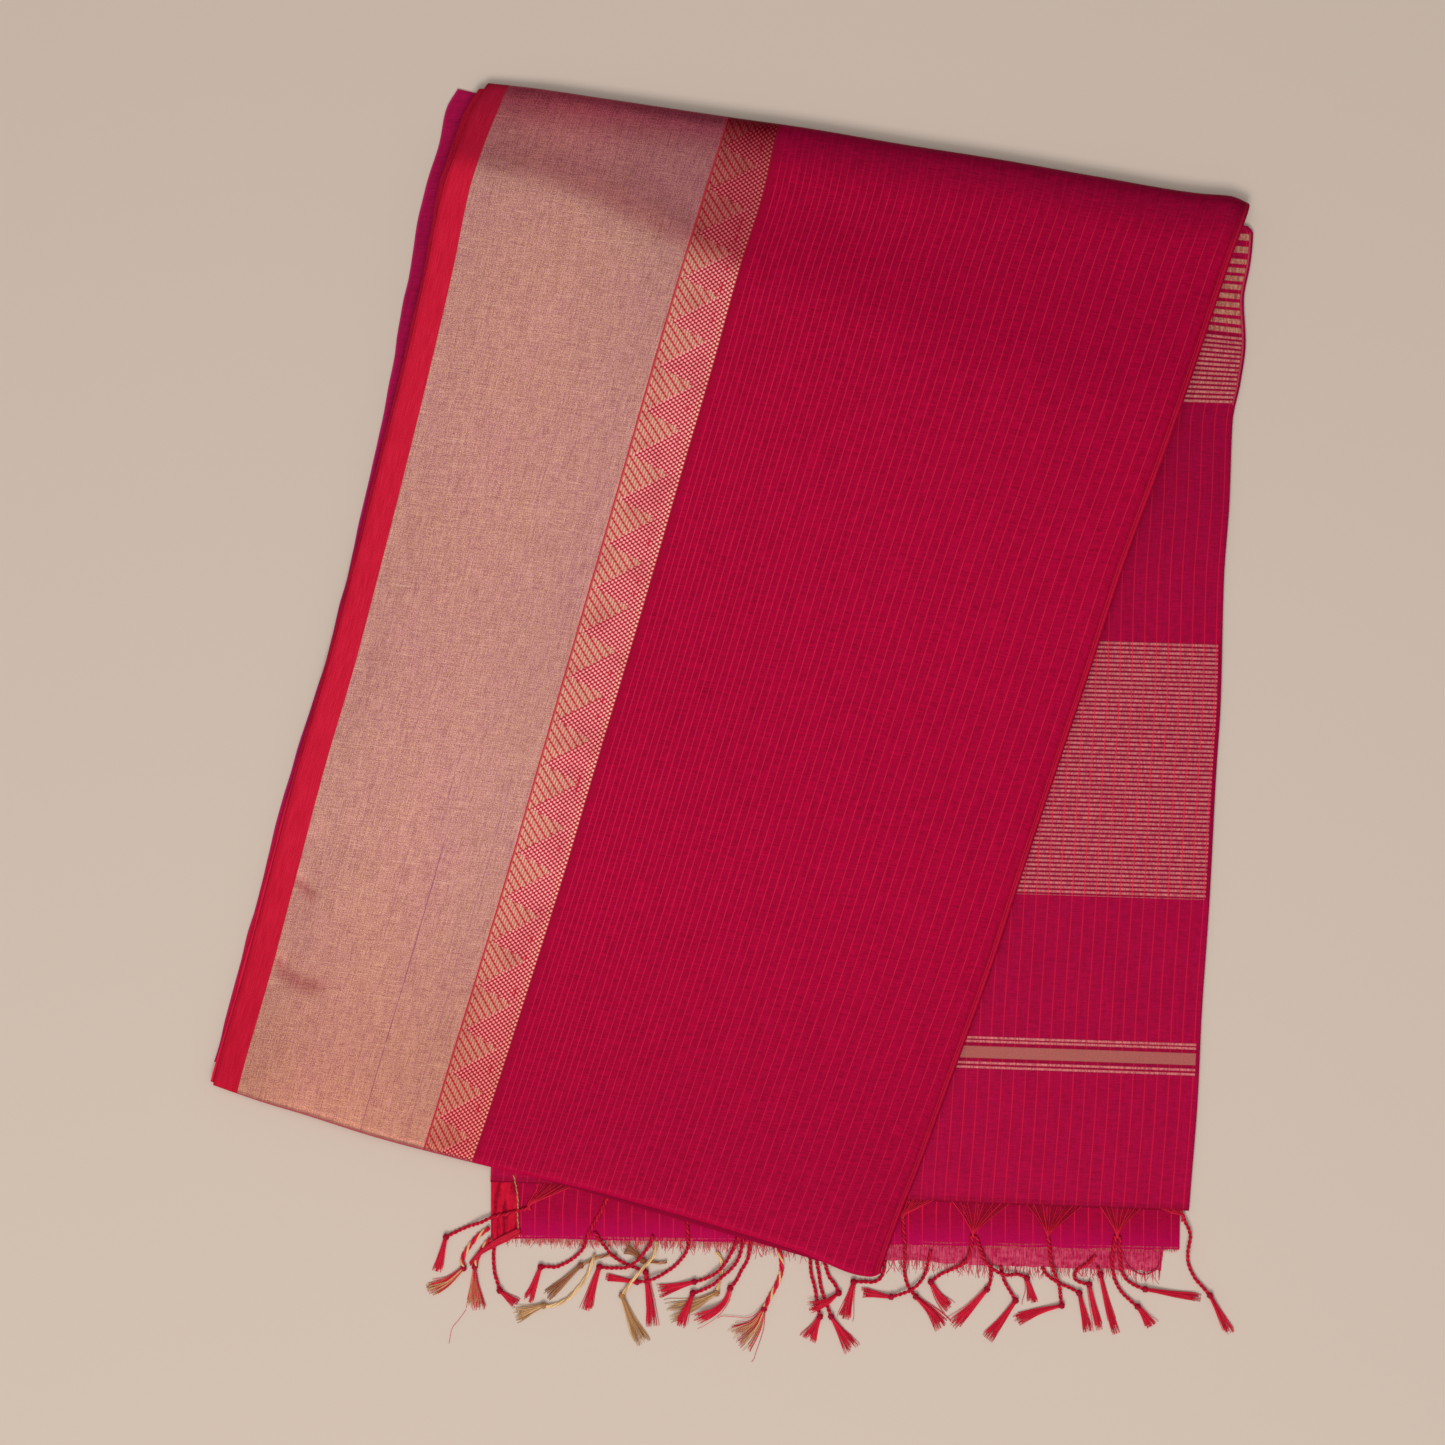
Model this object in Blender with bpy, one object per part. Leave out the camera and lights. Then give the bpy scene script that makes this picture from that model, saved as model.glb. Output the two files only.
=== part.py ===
"""A folded saree lying flat: one woven length, folded in half lengthwise and then end over end.

The model is in metres, +Z up, with the floor at z = 0. The front of the pile is at -Y. The decorated end (the
pallu) lies to the right of the pile and the plain end lies under it, and both ends show their fringe at -Y.
"""
import math
from collections import namedtuple
from functools import lru_cache

import bmesh
import bpy
import numpy as np

MM = 0.001

# The shift that puts the middle of the whole outline over the origin.
SHIFT_X = 0.001024
SHIFT_Y = 0.000765

# Cloth walls and the clearance that touching pieces keep.
WALL = 0.0010
CLEARANCE = 0.0003
LAYER = WALL + CLEARANCE

# Heights of the loose plies that lie under the pile, from the floor up.
PLAIN_LOWER_Z = 0.0
PLAIN_UPPER_Z = PLAIN_LOWER_Z + LAYER
PALLU_Z = PLAIN_UPPER_Z + LAYER
PILE_ON_FLOOR_Z = LAYER
PILE_ON_PLIES_Z = PALLU_Z + LAYER

# The saree is 1.15 m wide on the loom and folded in half lengthwise, so a panel is about half of that across.
HALF_WIDTH = 0.578
STRIP_ACROSS = 0.020
ZARI_ACROSS = 0.186
BAND_ACROSS = 0.232
ACROSS = (0.0, STRIP_ACROSS, ZARI_ACROSS, BAND_ACROSS, HALF_WIDTH)

# Where the woven lines of the top panel lie: at each y, the x of its selvedge, of the inner edges of the red
# strip, of the metallic border and of the geometric band, and of the lengthwise fold.
Lines = namedtuple("Lines", "y selvedge strip zari band fold")
WOVEN_LINES = (
    Lines(-0.440, -0.4555, -0.4350, -0.2780, -0.2320, 0.1180),
    Lines(-0.400, -0.4450, -0.4245, -0.2660, -0.2200, 0.1320),
    Lines(-0.360, -0.4345, -0.4140, -0.2540, -0.2080, 0.1480),
    Lines(-0.320, -0.4240, -0.4035, -0.2415, -0.1945, 0.1625),
    Lines(-0.280, -0.4135, -0.3930, -0.2295, -0.1815, 0.1770),
    Lines(-0.200, -0.3905, -0.3700, -0.2050, -0.1560, 0.2060),
    Lines(-0.120, -0.3695, -0.3490, -0.1810, -0.1310, 0.2320),
    Lines(-0.040, -0.3485, -0.3280, -0.1580, -0.1075, 0.2585),
    Lines(0.040, -0.3250, -0.3045, -0.1350, -0.0835, 0.2850),
    Lines(0.120, -0.3040, -0.2835, -0.1120, -0.0600, 0.3105),
    Lines(0.200, -0.2835, -0.2630, -0.0890, -0.0370, 0.3395),
    Lines(0.280, -0.2630, -0.2430, -0.0660, -0.0135, 0.3675),
    Lines(0.360, -0.2445, -0.2240, -0.0425, 0.0085, 0.3945),
    Lines(0.420, -0.2320, -0.2115, -0.0245, 0.0270, 0.4150),
    Lines(0.460, -0.2185, -0.1990, -0.0120, 0.0355, 0.4225),
    Lines(0.490, -0.2075, -0.1875, -0.0030, 0.0430, 0.4280),
    Lines(0.510, -0.1960, -0.1795, 0.0030, 0.0475, 0.4315),
)

# The folded ends of the pile, from left to right.
Edge = namedtuple("Edge", "x y")
TOP_EDGE = (
    Edge(-0.197, 0.5090), Edge(-0.171, 0.5060), Edge(-0.107, 0.4965), Edge(0.000, 0.4805),
    Edge(0.053, 0.4730), Edge(0.133, 0.4595), Edge(0.213, 0.4470), Edge(0.293, 0.4330),
    Edge(0.373, 0.4200), Edge(0.397, 0.4180), Edge(0.413, 0.4115),
)
FRONT_EDGE = (
    Edge(-0.4480, -0.2830), Edge(-0.3790, -0.3070), Edge(-0.3470, -0.3165), Edge(-0.2830, -0.3365),
    Edge(-0.2030, -0.3570), Edge(-0.1070, -0.3795), Edge(-0.0660, -0.3910), Edge(-0.0360, -0.3995),
    Edge(-0.0010, -0.4100), Edge(0.0530, -0.4270), Edge(0.1010, -0.4460), Edge(0.1100, -0.4470),
    Edge(0.1173, -0.4445),
)

# The panel's columns, from its selvedge to near its lengthwise fold, and its rows, as shares of the way from
# the far fold to the front one.
PANEL_COLUMNS = (0.0, STRIP_ACROSS, 0.055, 0.110, ZARI_ACROSS, BAND_ACROSS, 0.300, 0.370, 0.440, 0.510, 0.560)
PANEL_ROWS = (0.0, 0.02, 0.045, 0.07, 0.10, 0.14, 0.19, 0.26, 0.36, 0.48, 0.60, 0.72, 0.84, 0.93, 0.975, 1.0)

# The pile's top: its height across the panel, and what the thick fold at the far end and the thin fold at the
# front add to it at a distance from that end.
Height = namedtuple("Height", "at z")
CROWN = (
    Height(-0.010, 0.0080), Height(0.000, 0.0085), Height(0.020, 0.0094), Height(0.055, 0.0113),
    Height(0.110, 0.0125), Height(0.186, 0.0134), Height(0.232, 0.0136), Height(0.300, 0.0138),
    Height(0.370, 0.0137), Height(0.440, 0.0133), Height(0.510, 0.0127), Height(0.560, 0.0121),
    Height(0.578, 0.0118),
)
FAR_ROLL = (
    Height(0.000, 0.0060), Height(0.012, 0.0064), Height(0.040, 0.0084), Height(0.070, 0.0086),
    Height(0.110, 0.0068), Height(0.170, 0.0036), Height(0.240, 0.0016), Height(0.400, 0.0005),
    Height(0.700, 0.0000),
)
FRONT_DROP = (
    Height(0.000, -0.0016), Height(0.008, -0.0014), Height(0.040, -0.0006), Height(0.120, 0.0000),
)
FAR_NOSE = 0.012
FRONT_NOSE = 0.008
FAR_ANGLES = (145, 110, 75, 40)
FRONT_ANGLES = (45, 90, 135)

# The lengthwise fold along the panel's right side.
FOLD_DEPTH = 2 * WALL + 0.0006
FOLD_REACH = 0.0022
FOLD_RETURN = 0.006
TUCK = 0.008

# The layer under the top panel, whose selvedge stands proud of the panel's at a distance from the far end.
RED_LAYER_ACROSS = 0.034
RED_PROUD = (
    Height(0.000, 0.0048), Height(0.030, 0.0058), Height(0.080, 0.0042), Height(0.130, 0.0026),
    Height(0.900, 0.0024),
)

# The loose left edge of the pile's lowest, sheer layer.
SHEER_EDGE = (
    Edge(-0.2220, 0.5055), Edge(-0.2305, 0.4900), Edge(-0.2370, 0.4600), Edge(-0.2495, 0.4200),
    Edge(-0.2605, 0.3600), Edge(-0.2750, 0.2800), Edge(-0.2910, 0.2000), Edge(-0.3095, 0.1200),
    Edge(-0.3295, 0.0400), Edge(-0.3550, -0.0400), Edge(-0.3765, -0.1200), Edge(-0.3970, -0.2000),
    Edge(-0.4175, -0.2755),
)
SHEER_CLEAR_OF_PLIES = 0.004

# The pallu and the plain end lie one on another. Their hidden left edges share one line.
PLY_LEFT_FAR = Edge(-0.1340, 0.4860)
PLY_LEFT_FRONT = Edge(-0.1955, -0.3600)
PALLU_RIGHT = (
    Edge(0.4120, 0.3950), Edge(0.4165, 0.3900), Edge(0.4160, 0.3800), Edge(0.4145, 0.3660),
    Edge(0.4090, 0.3340), Edge(0.4105, 0.3020), Edge(0.4065, 0.2700), Edge(0.4000, 0.2380),
    Edge(0.3975, 0.1740), Edge(0.3930, 0.1100), Edge(0.3905, 0.0140), Edge(0.3865, -0.0500),
    Edge(0.3815, -0.1460), Edge(0.3750, -0.2420), Edge(0.3720, -0.3060), Edge(0.3670, -0.3700),
    Edge(0.3650, -0.3950),
)
PALLU_END = (Edge(-0.1955, -0.3715), Edge(0.1610, -0.3875), Edge(0.3650, -0.3950))
UPPER_END = (Edge(-0.1950, -0.4170), Edge(0.1370, -0.4220), Edge(0.3575, -0.4265))
LOWER_END = (Edge(-0.1900, -0.4130), Edge(0.0050, -0.4220), Edge(0.1210, -0.4345), Edge(0.3430, -0.4440))
UPPER_INSET = 0.0085
LOWER_INSET = 0.0200

# Where the pile comes down from the plies to the floor: its distance from their left edge.
STEP_HIGH = 0.022
STEP_LOW = 0.045

# The strips along the woven ends, which hold the loose threads.
STRIP_WIDTH = 0.0030
THREAD_HALF = 0.0004
FRAY_LENGTH = 0.0075
Fan = namedtuple("Fan", "first last threads tip_x tip_y")
LEFT_FANS = (
    Fan(-0.1560, -0.1260, 5, -0.1640, -0.3915),
    Fan(-0.1120, -0.0920, 4, -0.1020, -0.3840),
)
RIGHT_FANS = (
    Fan(0.1400, 0.1600, 4, 0.1355, -0.4000),
    Fan(0.1740, 0.2210, 6, 0.1920, -0.4135),
    Fan(0.2340, 0.2790, 6, 0.2520, -0.4150),
    Fan(0.2930, 0.3270, 6, 0.3075, -0.4140),
    Fan(0.3420, 0.3600, 5, 0.3600, -0.4005),
)

# Tassels: a twisted cord, a knot and a brush of four locks. Routes are in millimetres, with the height of the
# cord's middle named for what it lies on.
CORD_RADIUS = 0.0013
LAID = 0.0017
LOWER = PLAIN_LOWER_Z + WALL + CORD_RADIUS + 0.0004
UPPER = PLAIN_UPPER_Z + WALL + CORD_RADIUS + 0.0004
OVER = 0.0050
HIGH = 0.0070
LOCKS = 4
KNOT_Z = 0.0026
BRUSH_Z = {LAID: 0.0010, OVER: 0.0044}
Tassel = namedtuple("Tassel", "number tint width cord knot brush")
TASSELS = (
    Tassel("01", "red", width=5,
           cord=[(-165, -392.6, UPPER), (-181, -397, UPPER), (-194, -400, UPPER), (-203, -404, OVER),
                 (-214, -408, LAID), (-225, -413, LAID)],
           knot=(-231, -416), brush=[(-238, -444, LAID)]),
    Tassel("02", "mixed", width=9,
           cord=[(-196.4, -408.8, LAID), (-206, -416, LAID), (-214, -426, LAID), (-218, -434, LAID)],
           knot=(-217, -441), brush=[(-230, -452, LAID), (-246, -459, LAID)]),
    Tassel("03", "mixed", width=13,
           cord=[(-195.5, -417.5, LAID), (-201, -424, LAID), (-205, -431, LAID)],
           knot=(-208, -440), brush=[(-207, -457, LAID), (-205, -475, LAID)]),
    Tassel("04", "red", width=6,
           cord=[(-192, -417.7, LAID), (-193, -432, LAID), (-192, -445, LAID), (-190, -452, LAID)],
           knot=(-188, -459), brush=[(-181, -465, LAID), (-174, -470, LAID)]),
    Tassel("05", "red", width=6,
           cord=[(-102, -385, UPPER), (-107, -396, UPPER), (-114, -408, UPPER),
                 (-118, -417, UPPER), (-121, -425, OVER), (-130, -434, LAID), (-142, -440, LAID),
                 (-148, -440, LAID)],
           knot=(-155, -440), brush=[(-161, -456, LAID), (-166, -468, LAID)]),
    Tassel("06", "gold", width=9,
           cord=[(-112, -430, LAID), (-113, -434, OVER), (-115, -440, OVER), (-118, -447, LAID),
                 (-125, -457, LAID), (-134, -466, LAID), (-145, -471, LAID)],
           knot=(-153, -471), brush=[(-165, -476, LAID), (-176, -480, LAID)]),
    Tassel("07", "tan", width=7,
           cord=[(-94, -430, LAID), (-102, -431, LAID), (-110, -433, LAID), (-115, -435, LAID)],
           knot=(-123, -439), brush=[(-137, -452, LAID), (-151, -464, LAID)]),
    Tassel("08", "red", width=6,
           cord=[(-112, -412, UPPER), (-107, -419, UPPER), (-102, -425, OVER), (-98, -430, OVER),
                 (-90, -436, LAID), (-81, -440, LAID)],
           knot=(-71, -444), brush=[(-68, -465, LAID), (-66, -488, LAID)]),
    Tassel("09", "red", width=6,
           cord=[(-65, -415, UPPER), (-67, -421, UPPER), (-72, -428, OVER), (-78, -435, OVER),
                 (-86, -440, OVER), (-94, -441, LAID), (-101, -441, LAID)],
           knot=(-108, -440), brush=[(-114, -458, LAID), (-119, -475, LAID)]),
    Tassel("10", "gold", width=10,
           cord=[(-62, -419.7, LAID), (-64, -430, OVER), (-70, -437, HIGH), (-76, -444, HIGH),
                 (-82, -451, HIGH), (-86, -457, OVER)],
           knot=(-90, -463), brush=[(-82, -483, LAID), (-73, -502, LAID)]),
    Tassel("11", "tan", width=8,
           cord=[(-54, -436, LAID), (-60, -437, LAID), (-66, -436, LAID)],
           knot=(-73, -435), brush=[(-81, -428, LAID), (-88, -424, LAID)]),
    Tassel("12", "red", width=5,
           cord=[(-38, -401, UPPER), (-37, -417, UPPER), (-38, -427, OVER), (-46, -438, LAID),
                 (-54, -444, LAID), (-62, -448, OVER), (-70, -451, OVER)],
           knot=(-78, -452), brush=[(-91, -450, LAID), (-103, -448, LAID)]),
    Tassel("13", "red", width=7,
           cord=[(4, -414, UPPER), (-2, -428, OVER), (-8, -438, OVER), (-15, -445, OVER),
                 (-24, -450, LAID)],
           knot=(-32, -452), brush=[(-46, -456, LAID), (-61, -460, LAID)]),
    Tassel("14", "red", width=7,
           cord=[(8, -416, UPPER), (4, -432, OVER), (-2, -441, OVER), (-10, -448, OVER),
                 (-17, -454, OVER), (-26, -459, LAID)],
           knot=(-33, -461), brush=[(-39, -475, OVER), (-44, -488, LAID)]),
    Tassel("15", "red", width=6,
           cord=[(14, -418, UPPER), (11, -434, LAID), (6, -443, LAID), (2, -451, LAID)],
           knot=(-3, -457), brush=[(-7, -468, LAID), (-16, -476, OVER), (-32, -483, OVER)]),
    Tassel("16", "gold", width=12,
           cord=[(-14, -428, LAID), (-10, -435, LAID), (-10, -445, LAID), (-12, -453, LAID)],
           knot=(-14, -461), brush=[(-32, -471, LAID), (-53, -478, LAID)]),
    Tassel("17", "mixed", width=18,
           cord=[(36, -424.6, LOWER), (38, -434, LAID), (38, -444, LAID), (34, -455, LAID),
                 (29, -464, LAID)],
           knot=(24, -474), brush=[(16, -488, LAID), (1, -500, LAID)]),
    Tassel("18", "red", width=10,
           cord=[(65, -429.4, LAID), (68, -444, LAID), (70, -457, LAID), (74, -469, LAID)],
           knot=(78, -480), brush=[(86, -493, LAID), (95, -507, LAID)]),
    Tassel("19", "red", width=7,
           cord=[(71, -430, LAID), (76, -447, LAID), (81, -454, LAID)],
           knot=(84, -461), brush=[(74, -468, OVER), (60, -473, OVER)]),
    Tassel("20", "red", width=7,
           cord=[(61, -429, LAID), (62, -445, LAID), (65, -457, LAID), (67, -470, LAID)],
           knot=(69, -480), brush=[(65, -489, LAID), (60, -499, LAID)]),
    Tassel("21", "red", width=7,
           cord=[(121.5, -435.3, LAID), (119, -447, LAID), (113, -452, LAID), (104, -452, LAID)],
           knot=(96, -452), brush=[(92, -468, LAID), (88, -482, LAID)]),
    Tassel("22", "red", width=6,
           cord=[(158, -427, LOWER), (156, -435, LOWER), (154, -444, LAID), (149, -452, OVER),
                 (142, -458, OVER), (135, -461, OVER)],
           knot=(126, -464), brush=[(114, -462, LAID), (102, -460, LAID)]),
    Tassel("23", "red", width=9,
           cord=[(135.5, -401, UPPER), (136, -412, UPPER), (137, -423, UPPER), (137, -433, OVER),
                 (137, -445, LAID), (140, -456, LAID)],
           knot=(146, -464), brush=[(158, -476, LAID), (167, -489, LAID)]),
    Tassel("24", "red", width=7,
           cord=[(190.5, -414.6, UPPER), (190, -425, UPPER), (185, -436, OVER), (175, -442, LAID),
                 (166, -446, LAID)],
           knot=(158, -452), brush=[(165, -464, LAID), (174, -473, LAID)]),
    Tassel("25", "red", width=6,
           cord=[(194, -415, UPPER), (198, -427, UPPER), (202, -436, OVER), (210, -443, OVER),
                 (219, -446, OVER), (228, -446, LAID)],
           knot=(235, -449), brush=[(238, -459, LAID), (240, -469, LAID)]),
    Tassel("26", "red", width=7,
           cord=[(206, -438.9, LAID), (206, -451, LAID)],
           knot=(203, -458), brush=[(190, -473, LAID), (175, -488, LAID)]),
    Tassel("27", "red", width=7,
           cord=[(214, -439.2, LAID), (217, -451, LAID), (222, -460, LAID)],
           knot=(226, -467), brush=[(215, -483, LAID), (203, -498, LAID)]),
    Tassel("28", "red", width=8,
           cord=[(252, -416, UPPER), (253, -427, UPPER), (254, -436, OVER), (258, -447, OVER),
                 (261, -456, OVER), (262, -463, LAID)],
           knot=(263, -471), brush=[(244, -476, LAID), (225, -483, LAID)]),
    Tassel("29", "red", width=5,
           cord=[(247, -440.6, LAID), (253, -448, LAID), (263, -454, LAID), (270, -457, LAID)],
           knot=(277, -461), brush=[(281, -477, LAID), (285, -492, LAID)]),
    Tassel("30", "red", width=4,
           cord=[(290, -431, LOWER), (284, -437, LOWER), (276, -442, LOWER), (273, -448, LAID),
                 (277, -452, LAID)],
           knot=(285, -454), brush=[(289, -472, LAID), (294, -491, LAID)]),
    Tassel("31", "red", width=5,
           cord=[(292, -440, LOWER)],
           knot=(294, -446), brush=[(300, -470, LAID), (307, -494, LAID)]),
    Tassel("32", "red", width=6,
           cord=[(306, -415, UPPER), (304, -427, UPPER), (303, -437, LOWER), (304, -443, LOWER),
                 (306, -451, LAID), (311, -460, LAID), (318, -467, LAID)],
           knot=(324, -472), brush=[(330, -480, LAID), (335, -488, LAID)]),
    Tassel("33", "red", width=5,
           cord=[(309.4, -415.5, UPPER), (309, -427, UPPER), (310, -437, LOWER), (311, -443, LOWER),
                 (315, -450, LAID), (322, -455, LAID)],
           knot=(330, -458), brush=[(353, -462, LAID), (375, -465, LAID)]),
    Tassel("34", "red", width=6,
           cord=[(361, -401.4, UPPER), (366, -414, UPPER), (364, -427, OVER), (365, -438, LAID),
                 (370, -449, LAID), (376, -456, LAID)],
           knot=(382, -463), brush=[(390, -478, LAID), (398, -494, LAID)]),
)
CORD_STEP = 0.0065
CORD_TWIST = math.radians(40)
LOCK_ROOT_SCALE = 0.72

RED = (0.55, 0.01, 0.05)
MAGENTA = (0.40, 0.003, 0.05)
SHEER = (0.38, 0.002, 0.10)
DARK_RED = (0.32, 0.005, 0.02)
GOLD = (0.52, 0.33, 0.12)
TAN = (0.36, 0.24, 0.10)
PANEL = (0.45, 0.08, 0.09)
TINTS = {"red": RED, "gold": GOLD, "tan": TAN, "mixed": RED}


class Body:
    """The points and faces of one closed piece."""

    def __init__(self):
        self.points = []
        self.faces = []

    def ring(self, points):
        start = len(self.points)
        self.points.extend(tuple(float(value) for value in point) for point in points)
        return list(range(start, len(self.points)))

    def bridge(self, ring_a, ring_b):
        count = len(ring_a)
        for i in range(count):
            j = (i + 1) % count
            self.faces.append((ring_a[i], ring_a[j], ring_b[j], ring_b[i]))

    def stitch(self, ring_a, turns_a, ring_b, turns_b):
        """Joins two rings of unlike counts; turns are each point's place around its ring, from 0 to 1."""
        order_a = sorted(range(len(ring_a)), key=lambda i: turns_a[i])
        order_b = sorted(range(len(ring_b)), key=lambda i: turns_b[i])
        next_a = [turns_a[i] for i in order_a[1:]] + [turns_a[order_a[0]] + 1]
        next_b = [turns_b[i] for i in order_b[1:]] + [turns_b[order_b[0]] + 1]
        a = 0
        b = 0
        while a < len(order_a) or b < len(order_b):
            here_a = ring_a[order_a[a % len(order_a)]]
            here_b = ring_b[order_b[b % len(order_b)]]
            step_a = b >= len(order_b) or (a < len(order_a) and next_a[a] <= next_b[b])
            if step_a:
                a += 1
                self.faces.append((here_a, ring_a[order_a[a % len(order_a)]], here_b))
            else:
                b += 1
                self.faces.append((here_a, ring_b[order_b[b % len(order_b)]], here_b))

    def cap(self, ring):
        self.faces.append(tuple(ring))

    def build(self, name, colour, roughness=0.75):
        mesh = bpy.data.meshes.new(name)
        shift = np.array((SHIFT_X, SHIFT_Y, 0.0))
        mesh.from_pydata([tuple(np.array(point) + shift) for point in self.points], [], self.faces)
        work = bmesh.new()
        work.from_mesh(mesh)
        bmesh.ops.recalc_face_normals(work, faces=work.faces)
        work.to_mesh(mesh)
        work.free()
        mesh.materials.append(fabric(name, colour, roughness))
        piece = bpy.data.objects.new(name, mesh)
        bpy.context.scene.collection.objects.link(piece)
        return piece


def fabric(name, colour, roughness):
    material = bpy.data.materials.new(name)
    material.use_nodes = True
    shader = material.node_tree.nodes["Principled BSDF"]
    shader.inputs["Base Color"].default_value = (*colour, 1.0)
    shader.inputs["Roughness"].default_value = roughness
    shader.inputs["Metallic"].default_value = 0.0
    return material


def height_at(table, at):
    return float(np.interp(at, [row.at for row in table], [row.z for row in table]))


def smooth(value):
    value = min(max(value, 0.0), 1.0)
    return value * value * (3 - 2 * value)


def line_x(across, y):
    """The x of the panel's thread that runs `across` from the selvedge, at height y in the plan."""
    ys = [row.y for row in WOVEN_LINES]
    xs = [float(np.interp(y, ys, [row[i] for row in WOVEN_LINES])) for i in range(1, 6)]
    if across < 0:
        return xs[0] + across * (xs[1] - xs[0]) / STRIP_ACROSS
    return float(np.interp(across, ACROSS, xs))


def on_edge(across, edge):
    y = 0.0
    for _ in range(20):
        x = line_x(across, y)
        y = float(np.interp(x, [point.x for point in edge], [point.y for point in edge]))
    return y


@lru_cache(maxsize=None)
def thread_ends(across):
    """Where a lengthwise thread of the panel meets the far fold and the front fold, and its length."""
    far = on_edge(across, TOP_EDGE)
    front = on_edge(across, FRONT_EDGE)
    run = math.hypot(far - front, line_x(across, far) - line_x(across, front))
    return far, front, run


def plan(across, from_far):
    """The place of a point of the panel: across from the selvedge, along from the far fold."""
    far, front, run = thread_ends(across)
    y = far + (front - far) * from_far / run
    return line_x(across, y), y


def ply_left(y):
    share = (y - PLY_LEFT_FRONT.y) / (PLY_LEFT_FAR.y - PLY_LEFT_FRONT.y)
    return PLY_LEFT_FRONT.x + share * (PLY_LEFT_FAR.x - PLY_LEFT_FRONT.x)


def pile_base(x, y):
    """The height of the pile's underside: on the plies at the right, near the floor at the left."""
    inside = (x - ply_left(y) + STEP_LOW) / (STEP_LOW - STEP_HIGH)
    return PILE_ON_FLOOR_Z + (PILE_ON_PLIES_Z - PILE_ON_FLOOR_Z) * smooth(inside)


def pile_top(across, from_far):
    run = thread_ends(across)[2]
    return (height_at(CROWN, across) + height_at(FAR_ROLL, from_far)
            + height_at(FRONT_DROP, run - from_far) + PILE_ON_PLIES_Z - LAYER)


# A row runs across the pile. Far and front rows lie on the folds, at an angle round the fold from the top, or
# past it on the underside; middle rows lie on top at a share of the way between the folds.
Row = namedtuple("Row", "end angle share")


def fold_rows(end, angles):
    return [Row(end, math.radians(angle), 0.0) for angle in angles]


def pile_point(across, row, depth):
    """A point of the pile's outer surface, or `depth` under it."""
    run = thread_ends(across)[2]
    if row.end == "middle":
        from_far = FAR_NOSE + row.share * (run - FAR_NOSE - FRONT_NOSE)
        x, y = plan(across, from_far)
        return x, y, pile_top(across, from_far) - depth
    nose = FAR_NOSE if row.end == "far" else FRONT_NOSE
    round_it = nose - (nose - depth) * math.sin(min(row.angle, math.pi))
    inset = round_it + TUCK * max(0.0, row.angle / math.pi - 1.0)
    shoulder = nose if row.end == "far" else run - nose
    top = pile_top(across, shoulder)
    base = pile_base(*plan(across, shoulder))
    half = (top - base) / 2
    z = base + half + (half - depth) * math.cos(min(row.angle, math.pi))
    x, y = plan(across, inset if row.end == "far" else run - inset)
    return x, y, z


def wall(name, outer, inner, colour):
    """A closed wall between two grids of points, column by column."""
    body = Body()
    grids = [[body.ring(column) for column in side] for side in (outer, inner)]
    columns = len(outer)
    rows = len(outer[0])
    for side, grid in enumerate(grids):
        for i in range(columns - 1):
            for j in range(rows - 1):
                quad = (grid[i][j], grid[i + 1][j], grid[i + 1][j + 1], grid[i][j + 1])
                body.faces.append(quad if side == 0 else quad[::-1])
    border = [(i, 0) for i in range(columns)] + [(columns - 1, j) for j in range(1, rows)]
    border += [(i, rows - 1) for i in range(columns - 2, -1, -1)] + [(0, j) for j in range(rows - 2, 0, -1)]
    for (i, j), (k, m) in zip(border, border[1:] + border[:1]):
        body.faces.append((grids[0][i][j], grids[1][i][j], grids[1][k][m], grids[0][k][m]))
    return body.build(name, colour)


def top_panel():
    """The panel's section across, swept along the pile and round its two folded ends."""
    flat_end = HALF_WIDTH - FOLD_REACH
    columns = PANEL_COLUMNS + (flat_end - FOLD_RETURN, flat_end)
    section = [((across, 0.0), (across, WALL)) for across in columns]
    middle = FOLD_DEPTH / 2
    for degrees in (45, 90, 135, 180):
        angle = math.radians(degrees)
        outer = (flat_end + FOLD_REACH * math.sin(angle), middle - middle * math.cos(angle))
        inner = (flat_end + (FOLD_REACH - WALL) * math.sin(angle), middle - (middle - WALL) * math.cos(angle))
        section.append((outer, inner))
    back = flat_end - FOLD_RETURN
    section.append(((back, FOLD_DEPTH), (back, FOLD_DEPTH - WALL)))
    rows = fold_rows("far", (360, 180) + FAR_ANGLES)
    rows += [Row("middle", 0.0, share) for share in PANEL_ROWS]
    rows += fold_rows("front", FRONT_ANGLES + (180, 360))
    outer = [[pile_point(across, row, depth) for row in rows] for (across, depth), _ in section]
    inner = [[pile_point(across, row, depth) for row in rows] for _, (across, depth) in section]
    return wall("top_panel", outer, inner, PANEL)


def edge_layer_red():
    """The next layer's selvedge, under the panel's left side and a little proud of it."""
    rows = fold_rows("far", FAR_ANGLES[-1:])
    rows += [Row("middle", 0.0, share) for share in PANEL_ROWS]
    rows += fold_rows("front", FRONT_ANGLES[:1])
    outer = []
    inner = []
    for share in (0.0, 0.35, 1.0):
        top_line = []
        under_line = []
        for row in rows:
            from_far = 0.0 if row.end == "far" else (row.share if row.end == "middle" else 1.0) * 0.85
            proud = height_at(RED_PROUD, from_far)
            across = -proud + share * (RED_LAYER_ACROSS + proud)
            top_line.append(pile_point(across, row, LAYER))
            under_line.append(pile_point(across, row, LAYER + WALL))
        outer.append(top_line)
        inner.append(under_line)
    return wall("edge_layer_red", outer, inner, DARK_RED)


def flat_ply(name, columns, z, colour):
    """A flat wall, from its columns of plan points."""
    outer = [[(x, y, z + WALL) for x, y in column] for column in columns]
    inner = [[(x, y, z) for x, y in column] for column in columns]
    return wall(name, outer, inner, colour)


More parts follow.
